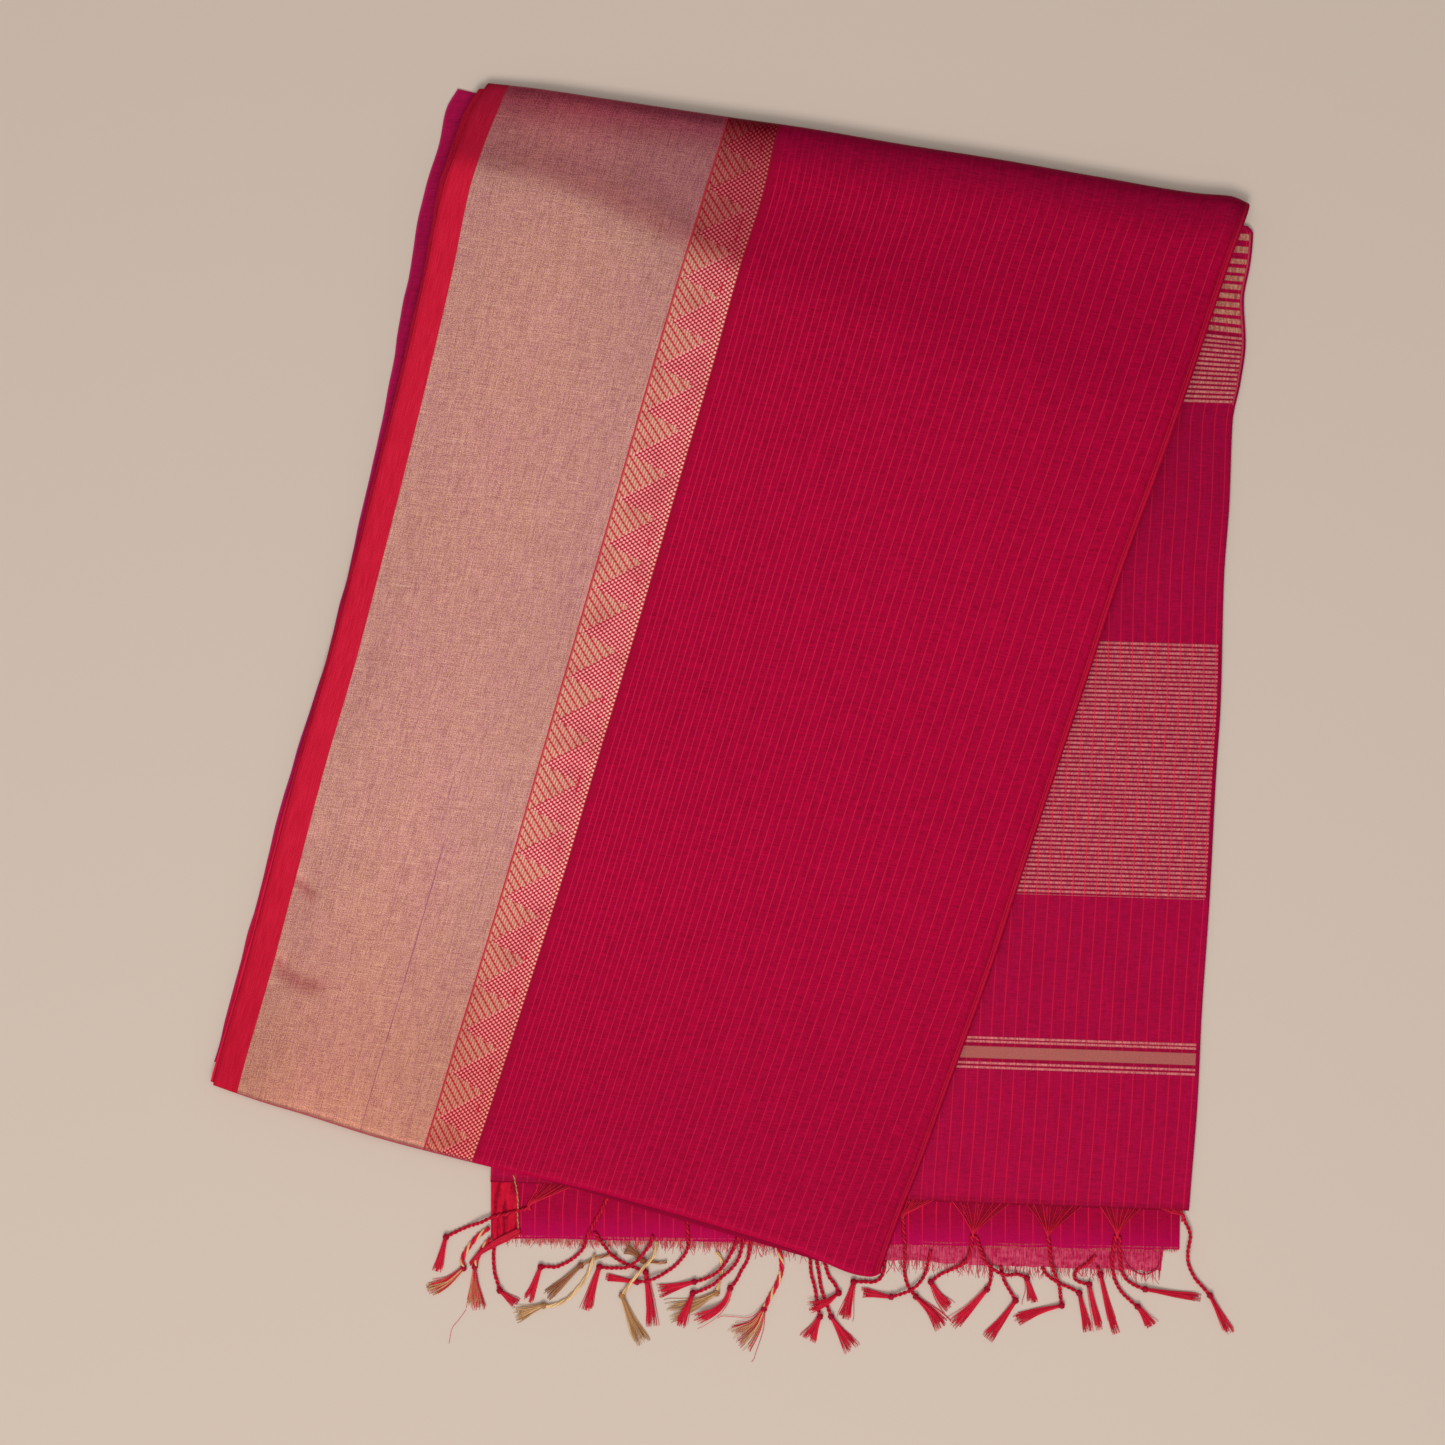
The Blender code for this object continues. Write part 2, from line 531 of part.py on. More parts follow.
def edge_layer_sheer():
    left = [(point.x, point.y) for point in SHEER_EDGE]
    right = []
    for x, y in left:
        share = (left[0][1] - y) / (left[0][1] - left[-1][1])
        ply_y = PLY_LEFT_FAR.y + share * (PLY_LEFT_FRONT.y + 0.012 - PLY_LEFT_FAR.y)
        right.append((ply_left(ply_y) - SHEER_CLEAR_OF_PLIES, ply_y))
    return flat_ply("edge_layer_sheer", [left, right], PLAIN_LOWER_Z, SHEER)


def ply(name, end, inset, z, colour):
    """One of the plies at the right, ending short of its woven end by the strip there."""
    rights = [(point.x - inset, point.y) for point in PALLU_RIGHT[:-1]]
    rights.append((end[-1].x, end[-1].y + STRIP_WIDTH + CLEARANCE))
    far, front = PALLU_RIGHT[0].y, PALLU_RIGHT[-2].y
    columns = []
    for point in end:
        over = (point.x - end[0].x) / (end[-1].x - end[0].x)
        column = []
        for right in rights[:-1]:
            down = (far - right[1]) / (far - front)
            left_y = PLY_LEFT_FAR.y + 0.96 * down * (point.y - PLY_LEFT_FAR.y)
            left_x = max(ply_left(left_y), end[0].x)
            column.append((left_x + over * (right[0] - left_x), left_y + over * (right[1] - left_y)))
        column.append((point.x, point.y + STRIP_WIDTH + CLEARANCE))
        columns.append(column)
    return flat_ply(name, columns, z, colour)


def strip_with_threads(name, first, last, end, z, threads, colour):
    """A narrow strip along a woven end, and threads that stand out of its front face as square tapers.

    Each thread is (x of its root, tip x, tip y).
    """
    def end_y(x):
        return float(np.interp(x, [point.x for point in end], [point.y for point in end]))

    cell_half = 1.6 * THREAD_HALF
    cuts = [first, last] + [point.x for point in end if first < point.x < last]
    for root, _, _ in threads:
        cuts += [root - cell_half, root + cell_half]
    cuts.sort()
    body = Body()
    sections = []
    for x in cuts:
        y = end_y(x)
        sections.append(body.ring(((x, y, z), (x, y + STRIP_WIDTH, z), (x, y + STRIP_WIDTH, z + WALL),
                                   (x, y, z + WALL))))
    body.cap(sections[0])
    body.cap(sections[-1])
    middle = z + WALL / 2
    for i, (here, there) in enumerate(zip(sections, sections[1:])):
        for side in range(3):
            body.faces.append((here[side], here[side + 1], there[side + 1], there[side]))
        cell = [here[3], there[3], there[0], here[0]]
        rooted = [thread for thread in threads if cuts[i] < thread[0] < cuts[i + 1]]
        if not rooted:
            body.faces.append(tuple(cell))
            continue
        root, tip_x, tip_y = rooted[0]
        base_y = end_y(root)
        previous = cell
        for share, half in ((0.0, THREAD_HALF), (0.5, 0.9 * THREAD_HALF), (1.0, 0.65 * THREAD_HALF)):
            x = root + (tip_x - root) * share
            y = base_y - 0.0003 + (tip_y - base_y + 0.0003) * share
            ring = body.ring(((x - half, y, middle + half), (x + half, y, middle + half),
                              (x + half, y, middle - half), (x - half, y, middle - half)))
            body.bridge(previous, ring)
            previous = ring
        body.cap(previous)
    return body.build(name, colour)


def fan_threads(fans):
    """The roots and tips of fanned threads, which gather side by side and stay apart."""
    threads = []
    for fan in fans:
        for i in range(fan.threads):
            share = i / (fan.threads - 1)
            spread = (i - (fan.threads - 1) / 2) * 2.2 * THREAD_HALF
            threads.append((fan.first + (fan.last - fan.first) * share, fan.tip_x + spread, fan.tip_y))
    return threads


def spline(points, step):
    """Points along a smooth curve through the given ones, about `step` apart."""
    points = [np.array(point, dtype=float) for point in points]
    padded = [2 * points[0] - points[1]] + points + [2 * points[-1] - points[-2]]
    line = []
    for a, b, c, d in zip(padded, padded[1:], padded[2:], padded[3:]):
        count = max(1, int(round(float(np.linalg.norm(c - b)) / step)))
        for i in range(count):
            t = i / count
            line.append(0.5 * (2 * b + (c - a) * t + (2 * a - 5 * b + 4 * c - d) * t * t
                               + (3 * b - a - 3 * c + d) * t ** 3))
    line.append(points[-1])
    return line


def cord_route(row, step):
    """The middle line of a tassel's cord, to the middle of its knot."""
    points = [(x * MM, y * MM, z) for x, y, z in row.cord]
    points.append((row.knot[0] * MM, row.knot[1] * MM, KNOT_Z))
    return spline(points, step)


def clear_of_cords(x, root_y, tip_y, top):
    """Whether a thread at x keeps clear of every cord that passes low enough to touch it."""
    for row in TASSELS:
        for point in cord_route(row, 0.001):
            beside = abs(point[0] - x) < 0.0030 and tip_y - 0.0025 < point[1] < root_y + 0.001
            if beside and point[2] - CORD_RADIUS < top + CLEARANCE:
                return False
    return True


def loose_threads(first, last, count, end, z):
    """Short cut threads, uneven in length and lean, left out where a cord passes."""
    threads = []
    for i in range(count):
        x = first + (last - first) * (i + 0.5) / count
        reach = FRAY_LENGTH * (0.75 + 0.25 * math.sin(5.1 * i))
        y = float(np.interp(x, [point.x for point in end], [point.y for point in end]))
        if clear_of_cords(x, y, y - reach, z + WALL):
            threads.append((x, x + 0.0012 * math.sin(3.7 * i), y - reach))
    return threads


def fringe_strips():
    strip_with_threads("fringe_strip_left", -0.1955, -0.0860, PALLU_END, PALLU_Z, fan_threads(LEFT_FANS), RED)
    strip_with_threads("fringe_strip_right", 0.1300, 0.3650, PALLU_END, PALLU_Z, fan_threads(RIGHT_FANS), RED)
    upper = loose_threads(-0.1680, -0.0080, 14, UPPER_END, PLAIN_UPPER_Z)
    upper += loose_threads(0.1420, 0.3520, 12, UPPER_END, PLAIN_UPPER_Z)
    strip_with_threads("frayed_strip_upper", -0.1950, 0.3575, UPPER_END, PLAIN_UPPER_Z, upper, MAGENTA)
    lower = loose_threads(0.1250, 0.3380, 26, LOWER_END, PLAIN_LOWER_Z)
    strip_with_threads("frayed_strip_lower", -0.1900, 0.3430, LOWER_END, PLAIN_LOWER_Z, lower, SHEER)


def beside_plies(from_far, gap):
    """How far across from the selvedge the pile lies `gap` to the left of the plies' left edge."""
    across = 0.1
    for _ in range(8):
        x, y = plan(across, from_far)
        across -= x - ply_left(y) + gap
    return across


def bundle_core():
    """The hidden layers: a rounded pillow under the panel, with its layers' edges showing at both sides."""
    over = WALL + CLEARANCE
    under_red = 2 * WALL + 3 * CLEARANCE
    in_folds = (0.044, 0.048, 0.053) + PANEL_COLUMNS[3:]
    between = (0.009, 0.036, 0.045) + PANEL_COLUMNS[3:]
    columns = len(between)
    right_side = ((0.0000, 0.78), (0.0060, 0.68), (0.0085, 0.56), (0.0055, 0.44), (0.0080, 0.30),
                  (0.0085, 0.15))
    left_side = ((0.0030, 0.18), (0.0005, 0.38), (0.0030, 0.55), (0.0005, 0.80))
    stations = [("far", share, 0.0) for share in (0.25, 0.45, 0.75)]
    stations += [("middle", share, 1.0 if 0.02 < share < 0.97 else 0.0) for share in PANEL_ROWS]
    stations += [("front", share, 0.0) for share in (0.70, 0.40)]

    def distance(station):
        """How far along from the far fold a station is, for a thread in the middle of the panel."""
        end, share, _ = station
        run = thread_ends(0.3)[2]
        if end == "middle":
            return FAR_NOSE + share * (run - FAR_NOSE - FRONT_NOSE)
        return FAR_NOSE if end == "far" else run - FRONT_NOSE

    def ends(across, station, depth):
        """The plan place and the lowest and highest z of the core at one place across a station."""
        end, share, _ = station
        run = thread_ends(across)[2]
        if end == "middle":
            from_far = FAR_NOSE + share * (run - FAR_NOSE - FRONT_NOSE)
            x, y = plan(across, from_far)
            over_tuck = 0.0 if 0.03 < share < 0.97 else WALL + 2 * CLEARANCE
            return x, y, pile_base(x, y) + over_tuck, pile_top(across, from_far) - depth
        nose = FAR_NOSE if end == "far" else FRONT_NOSE
        margin = depth + 2 * CLEARANCE
        inset = nose - (nose - margin) * (1 - share)
        shoulder = nose if end == "far" else run - nose
        base = pile_base(*plan(across, shoulder))
        top = pile_top(across, shoulder) - CLEARANCE
        half = (top - base) / 2
        bulge = (half - margin) * math.sqrt(1 - ((nose - inset) / (nose - margin)) ** 2)
        x, y = plan(across, inset if end == "far" else run - inset)
        return x, y, base + half - bulge, base + half + bulge

    body = Body()
    rings = []
    for station in stations:
        freedom = station[2]
        places = [a + (b - a) * freedom for a, b in zip(in_folds, between)]
        step_low = max(beside_plies(distance(station), STEP_LOW), places[0] + 0.003)
        step_high = max(beside_plies(distance(station), STEP_HIGH), step_low + 0.003)
        between_steps = [step_high + (places[7] - step_high) * k / 5 for k in range(5)]
        under = [places[0], step_low] + between_steps + places[7:]
        ring = []
        for i, across in enumerate(places):
            x, y, low, high = ends(across, station, under_red if i < 2 else over)
            ring.append((x, y, high))
        for reach, share in right_side:
            x, y, low, high = ends(places[-1] + reach * freedom, station, over)
            ring.append((x, y, low + (high - low) * share))
        for i in range(columns - 1, -1, -1):
            x, y, low, high = ends(under[i], station, under_red if i < 2 else over)
            ring.append((x, y, low))
        for reach, share in left_side:
            x, y, low, high = ends(places[0] - (0.0035 - reach) * freedom, station, under_red)
            ring.append((x, y, low + (high - low) * share))
        rings.append(body.ring(ring))
    for here, there in zip(rings, rings[1:]):
        body.bridge(here, there)
    for ring in (rings[0], rings[-1]):
        low = ring[columns + len(right_side):2 * columns + len(right_side)][::-1]
        body.cap([low[1], low[0]] + ring[2 * columns + len(right_side):] + ring[:2])
        for i in range(1, columns - 2):
            body.cap([ring[i], ring[i + 1], low[i + 1], low[i]])
        body.cap(ring[columns - 2:columns + len(right_side)] + [low[-1], low[-2]])
    return body.build("bundle_core", MAGENTA)


def frame_at(line, index):
    """The sideways and upward directions at a point of a route that lies about level."""
    ahead = line[min(index + 1, len(line) - 1)] - line[max(index - 1, 0)]
    ahead = ahead / np.linalg.norm(ahead)
    side = np.array((ahead[1], -ahead[0], 0.0))
    side = side / np.linalg.norm(side)
    return ahead, side, np.cross(side, ahead)


def flat_ring(body, centre, side, up, half_width, half_height):
    """A ring like a lens, with a row of points above and below, clockwise from its left end."""
    top = []
    bottom = []
    for j in range(LOCKS + 1):
        u = 2 * j / LOCKS - 1
        rise = half_height * math.sqrt(1 - 0.72 * u * u)
        top.append(centre + side * (u * half_width) + up * rise)
        bottom.append(centre + side * (u * half_width) - up * rise)
    return body.ring(top + bottom[::-1])


def tassel(row):
    """A twisted square cord that swells to a knot, and four locks that stand out of the knot's end."""
    knot = np.array((row.knot[0] * MM, row.knot[1] * MM, KNOT_Z))
    route = [point for point in cord_route(row, CORD_STEP) if np.linalg.norm(point - knot) > 0.0038]
    brush_ends = [np.array((x * MM, y * MM, BRUSH_Z[z])) for x, y, z in row.brush]
    way_out = brush_ends[0] - knot
    way_out[2] = 0.0
    way_out = way_out / np.linalg.norm(way_out)

    body = Body()
    line = route + [knot]
    ring = None
    for i, centre in enumerate(route):
        _, side, up = frame_at(line, i)
        turns = [(k / 4 + CORD_TWIST / (2 * math.pi) * i) % 1.0 for k in range(4)]
        there = body.ring([centre + CORD_RADIUS * (math.sin(2 * math.pi * turn) * up
                                                   - math.cos(2 * math.pi * turn) * side) for turn in turns])
        if ring is None:
            body.cap(there)
        else:
            body.bridge(ring, there)
        ring = there

    _, side, up = frame_at(line, len(line) - 1)
    first = flat_ring(body, knot - 0.0008 * frame_at(line, len(line) - 1)[0], side, up, 0.0023, 0.0019)
    lens_turns = [0.02 + 0.46 * j / LOCKS for j in range(LOCKS + 1)]
    lens_turns += [0.52 + 0.46 * j / LOCKS for j in range(LOCKS + 1)]
    body.stitch(ring, turns, first, lens_turns)
    out_side = np.array((way_out[1], -way_out[0], 0.0))
    out_up = np.array((0.0, 0.0, 1.0))
    middle = flat_ring(body, knot + 0.0010 * way_out, (side + out_side) / 2, out_up, 0.0024, 0.0020)
    body.bridge(first, middle)
    end_centre = knot + 0.0024 * way_out - 0.0004 * out_up
    last = flat_ring(body, end_centre, out_side, out_up, 0.0021, 0.0015)
    body.bridge(middle, last)

    path = spline([end_centre] + brush_ends, 0.003)
    samples = [0.42, 1.0] if len(brush_ends) == 1 else [0.30, 0.62, 1.0]
    for lock in range(LOCKS):
        cell = [last[lock], last[lock + 1], last[2 * LOCKS - lock], last[2 * LOCKS + 1 - lock]]
        corners = [np.array(body.points[k]) for k in cell]
        centre = sum(corners) / 4
        lean = lock - (LOCKS - 1) / 2
        root_offset = float(np.dot(centre - end_centre, out_side))
        previous = body.ring([centre + (corner - centre) * LOCK_ROOT_SCALE + 0.0003 * way_out
                              for corner in corners])
        body.bridge(cell, previous)
        for share in samples:
            k = int(round(share * (len(path) - 1)))
            _, side, up = frame_at(path, k)
            offset = root_offset + (lean / (LOCKS - 1) * row.width * MM - root_offset) * share
            apart = 2 * 0.0021 / LOCKS * (1 - share) + row.width * MM / (LOCKS - 1) * share
            half_width = min(0.0010, 0.34 * apart) * (1.0 if share < 0.9 else 0.7)
            half_height = 0.0008 - 0.0003 * share
            place = path[k] + side * offset
            if share == 1.0:
                place = place - frame_at(path, k)[0] * 0.002 * ((lock * 7) % 3)
            ring = body.ring([place - side * half_width + up * half_height,
                              place + side * half_width + up * half_height,
                              place + side * half_width - up * half_height,
                              place - side * half_width - up * half_height])
            body.bridge(previous, ring)
            previous = ring
        body.cap(previous)
    return body.build("tassel_" + row.number, TINTS[row.tint])


def main():
    for old in list(bpy.data.objects):
        bpy.data.objects.remove(old, do_unlink=True)
    top_panel()
    edge_layer_red()
    edge_layer_sheer()
    bundle_core()
    ply("pallu_front", PALLU_END, 0.0, PALLU_Z, MAGENTA)
    ply("plain_end_upper", UPPER_END, UPPER_INSET, PLAIN_UPPER_Z, MAGENTA)
    ply("plain_end_lower", LOWER_END, LOWER_INSET, PLAIN_LOWER_Z, SHEER)
    fringe_strips()
    for row in TASSELS:
        tassel(row)


main()
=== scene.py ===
"""The looks of a folded saree that lies flat: fine cloth over the solids, woven patterns and tassels.

The model is in metres, +Z up, floor at z = 0, with the front of the pile at -Y. Lengths in the weave are in
millimetres wherever a material reads them.
"""
import functools
import math
import random

import bmesh
import bpy
import numpy as np
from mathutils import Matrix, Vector


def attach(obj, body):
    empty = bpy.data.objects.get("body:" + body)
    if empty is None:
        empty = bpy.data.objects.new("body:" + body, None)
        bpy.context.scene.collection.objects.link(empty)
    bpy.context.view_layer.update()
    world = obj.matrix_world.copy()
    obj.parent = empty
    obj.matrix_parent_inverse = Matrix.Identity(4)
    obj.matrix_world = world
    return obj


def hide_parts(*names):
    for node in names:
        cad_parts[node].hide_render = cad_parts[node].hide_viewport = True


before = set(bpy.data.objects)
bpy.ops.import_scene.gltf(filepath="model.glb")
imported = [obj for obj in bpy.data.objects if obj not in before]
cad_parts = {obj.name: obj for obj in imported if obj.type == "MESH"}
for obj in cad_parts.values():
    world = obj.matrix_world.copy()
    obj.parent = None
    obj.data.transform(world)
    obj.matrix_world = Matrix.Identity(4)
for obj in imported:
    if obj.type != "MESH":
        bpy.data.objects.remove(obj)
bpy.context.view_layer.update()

MM = 0.001

# The size of one of the photograph's pixels, and the pixel that lies over the origin before the shift below.
PIXEL = 0.0008
ORIGIN_X = 734
ORIGIN_Y = 718.5

# The shift that puts the middle of the whole outline over the origin.
SHIFT = np.array((0.001024, 0.000765, 0.0))

# The cloth's walls and the clearance that touching pieces keep, as in the solids, and the visible cloth's
# thickness.
WALL = 0.0010
CLEARANCE = 0.0003
LAYER = WALL + CLEARANCE
CLOTH = 0.0005

# Heights of the loose plies that lie under the pile, from the floor up.
PLAIN_LOWER_Z = 0.0
PLAIN_UPPER_Z = PLAIN_LOWER_Z + LAYER
PALLU_Z = PLAIN_UPPER_Z + LAYER
PILE_ON_FLOOR_Z = LAYER
PILE_ON_PLIES_Z = PALLU_Z + LAYER

# The woven lines of the top panel: at each y, the x of its selvedge, of the inner edges of the red strip, of
# the metallic border and of the geometric band, and of the lengthwise fold.
HALF_WIDTH = 0.578
STRIP_ACROSS = 0.020
ACROSS = (0.0, STRIP_ACROSS, 0.186, 0.232, HALF_WIDTH)
WOVEN_LINES = (
    (-0.440, -0.4555, -0.4350, -0.2780, -0.2320, 0.1180),
    (-0.400, -0.4450, -0.4245, -0.2660, -0.2200, 0.1320),
    (-0.360, -0.4345, -0.4140, -0.2540, -0.2080, 0.1480),
    (-0.320, -0.4240, -0.4035, -0.2415, -0.1945, 0.1625),
    (-0.280, -0.4135, -0.3930, -0.2295, -0.1815, 0.1770),
    (-0.200, -0.3905, -0.3700, -0.2050, -0.1560, 0.2060),
    (-0.120, -0.3695, -0.3490, -0.1810, -0.1310, 0.2320),
    (-0.040, -0.3485, -0.3280, -0.1580, -0.1075, 0.2585),
    (0.040, -0.3250, -0.3045, -0.1350, -0.0835, 0.2850),
    (0.120, -0.3040, -0.2835, -0.1120, -0.0600, 0.3105),
    (0.200, -0.2835, -0.2630, -0.0890, -0.0370, 0.3395),
    (0.280, -0.2630, -0.2430, -0.0660, -0.0135, 0.3675),
    (0.360, -0.2445, -0.2240, -0.0425, 0.0085, 0.3945),
    (0.420, -0.2320, -0.2115, -0.0245, 0.0270, 0.4150),
    (0.460, -0.2185, -0.1990, -0.0120, 0.0355, 0.4225),
    (0.490, -0.2075, -0.1875, -0.0030, 0.0430, 0.4280),
    (0.510, -0.1960, -0.1795, 0.0030, 0.0475, 0.4315),
)

# The folded ends of the pile, from left to right, as (x, y).
TOP_EDGE = (
    (-0.197, 0.5090), (-0.171, 0.5060), (-0.107, 0.4965), (0.000, 0.4805), (0.053, 0.4730), (0.133, 0.4595),
    (0.213, 0.4470), (0.293, 0.4330), (0.373, 0.4200), (0.397, 0.4180), (0.413, 0.4115),
)
FRONT_EDGE = (
    (-0.4480, -0.2830), (-0.3790, -0.3070), (-0.3470, -0.3165), (-0.2830, -0.3365), (-0.2030, -0.3570),
    (-0.1070, -0.3795), (-0.0660, -0.3910), (-0.0360, -0.3995), (-0.0010, -0.4100), (0.0530, -0.4270),
    (0.1010, -0.4460), (0.1100, -0.4470), (0.1173, -0.4445),
)

# The pile's top: its height across the panel, and what its two folded ends add at a distance from the end.
CROWN = (
    (-0.010, 0.0080), (0.000, 0.0085), (0.020, 0.0094), (0.055, 0.0113), (0.110, 0.0125), (0.186, 0.0134),
    (0.232, 0.0136), (0.300, 0.0138), (0.370, 0.0137), (0.440, 0.0133), (0.510, 0.0127), (0.560, 0.0121),
    (0.578, 0.0118),
)
FRONT_DROP = ((0.000, -0.0016), (0.008, -0.0014), (0.040, -0.0006), (0.120, 0.0000))

# The thick far fold: a crest runs across it, further from the end towards the right, and the cloth falls
# from the crest to the end.
CREST = (
    (0.000, 0.066), (0.060, 0.071), (0.100, 0.080), (0.140, 0.094), (0.186, 0.111), (0.232, 0.122),
    (0.300, 0.129), (0.350, 0.141), (0.400, 0.153), (0.450, 0.161), (0.500, 0.169), (0.578, 0.172),
)
CREST_HEIGHT = 0.0105
CREST_FALL = 0.0105
CREST_FALL_RIGHT = 0.0085
CREST_REACH = 0.34

# How softly the crest turns and how far the steep part of its fall reaches, each at the left and what is
# added to the right, and the steep part's share of the fall.
CREST_SOFT = (0.004, 0.006)
STEEP_REACH = (0.022, 0.040)
STEEP_SHARE = 0.42

# The folded ends' half thickness along the pile, the lengthwise fold's depth, reach and return, and how far
# the cloth goes on under the pile.
FAR_NOSE = 0.012
FRONT_NOSE = 0.0045
FOLD_DEPTH = 2 * WALL + 0.0006
FOLD_REACH = 0.0022
FOLD_RETURN = 0.006
TUCK = 0.008

# The next layer's selvedge, proud of the panel's, and the lowest layer's loose left edge.
RED_LAYER_ACROSS = 0.034
RED_MARGIN = 0.006
RED_LENGTH = 0.85
RED_PROUD = ((0.000, 0.0048), (0.030, 0.0058), (0.080, 0.0042), (0.130, 0.0026), (0.900, 0.0024))
SHEER_EDGE = (
    (-0.2220, 0.5055), (-0.2305, 0.4900), (-0.2370, 0.4600), (-0.2495, 0.4200), (-0.2605, 0.3600),
    (-0.2750, 0.2800), (-0.2910, 0.2000), (-0.3095, 0.1200), (-0.3295, 0.0400), (-0.3550, -0.0400),
    (-0.3765, -0.1200), (-0.3970, -0.2000), (-0.4175, -0.2755),
)
SHEER_CLEAR_OF_PLIES = 0.004
SHEER_SHOWN = 0.16

# The pallu and the plain end lie one on another. Their hidden left edges share one line, and each has red
# warp stripes at a pitch of its own.
PLY_LEFT_FAR = (-0.1340, 0.4860)
PLY_LEFT_FRONT = (-0.1955, -0.3600)
PALLU_RIGHT = (
    (0.4120, 0.3950), (0.4165, 0.3900), (0.4160, 0.3800), (0.4145, 0.3660), (0.4090, 0.3340),
    (0.4105, 0.3020), (0.4065, 0.2700), (0.4000, 0.2380), (0.3975, 0.1740), (0.3930, 0.1100),
    (0.3905, 0.0140), (0.3865, -0.0500), (0.3815, -0.1460), (0.3750, -0.2420), (0.3720, -0.3060),
    (0.3670, -0.3700), (0.3650, -0.3950),
)
PALLU_END = ((-0.1955, -0.3715), (0.1610, -0.3875), (0.3650, -0.3950))
UPPER_END = ((-0.1950, -0.4170), (0.1370, -0.4220), (0.3575, -0.4265))
LOWER_END = ((-0.1900, -0.4130), (0.0050, -0.4220), (0.1210, -0.4345), (0.3430, -0.4440))
UPPER_INSET = 0.0085
LOWER_INSET = 0.0200
PALLU_STRIPES = 0.0096
UPPER_STRIPES = 0.0111
LOWER_STRIPES = 0.0061
SELVEDGE_STRIP = 0.0222
CRUMPLE = 0.0008

# How far to the left of the plies' hidden edge the pile's underside starts and ends its step to the floor.
STEP_HIGH = 0.022
STEP_LOW = 0.045

# Fans of threads on the pallu's end: first and last root, the tip's x and y.
LEFT_FANS = ((-0.1560, -0.1260, -0.1640, -0.3915), (-0.1120, -0.0920, -0.1020, -0.3840))
RIGHT_FANS = (
    (0.1400, 0.1600, 0.1355, -0.4000), (0.1740, 0.2210, 0.1920, -0.4135), (0.2340, 0.2790, 0.2520, -0.4150),
    (0.2930, 0.3270, 0.3075, -0.4140), (0.3420, 0.3600, 0.3600, -0.4005),
)

# The loose threads along the two cut edges: first and last x, how many, their length, the seed of their
# draws and how far apart their tufts stand.
UPPER_FRAY = ((-0.1725, 0.120, 640, 0.0056, 83, UPPER_STRIPES), (0.120, 0.356, 360, 0.0026, 85, 0.0))
LOWER_FRAY = ((-0.188, 0.342, 760, 0.0082, 84, LOWER_STRIPES),)

# Heights of a cord's points, by what it lies on: the floor, the plies, or other cords; of a knot's middle;
# and of the points of a brush on the floor and on cords.
CORD_RADIUS = 0.0013
LAID = 0.0017
LOWER = PLAIN_LOWER_Z + WALL + CORD_RADIUS + 0.0004
UPPER = PLAIN_UPPER_Z + WALL + CORD_RADIUS + 0.0004
OVER = 0.0050
HIGH = 0.0070
KNOT_Z = 0.0026
BRUSH_Z = {LAID: 0.0010, OVER: 0.0044}

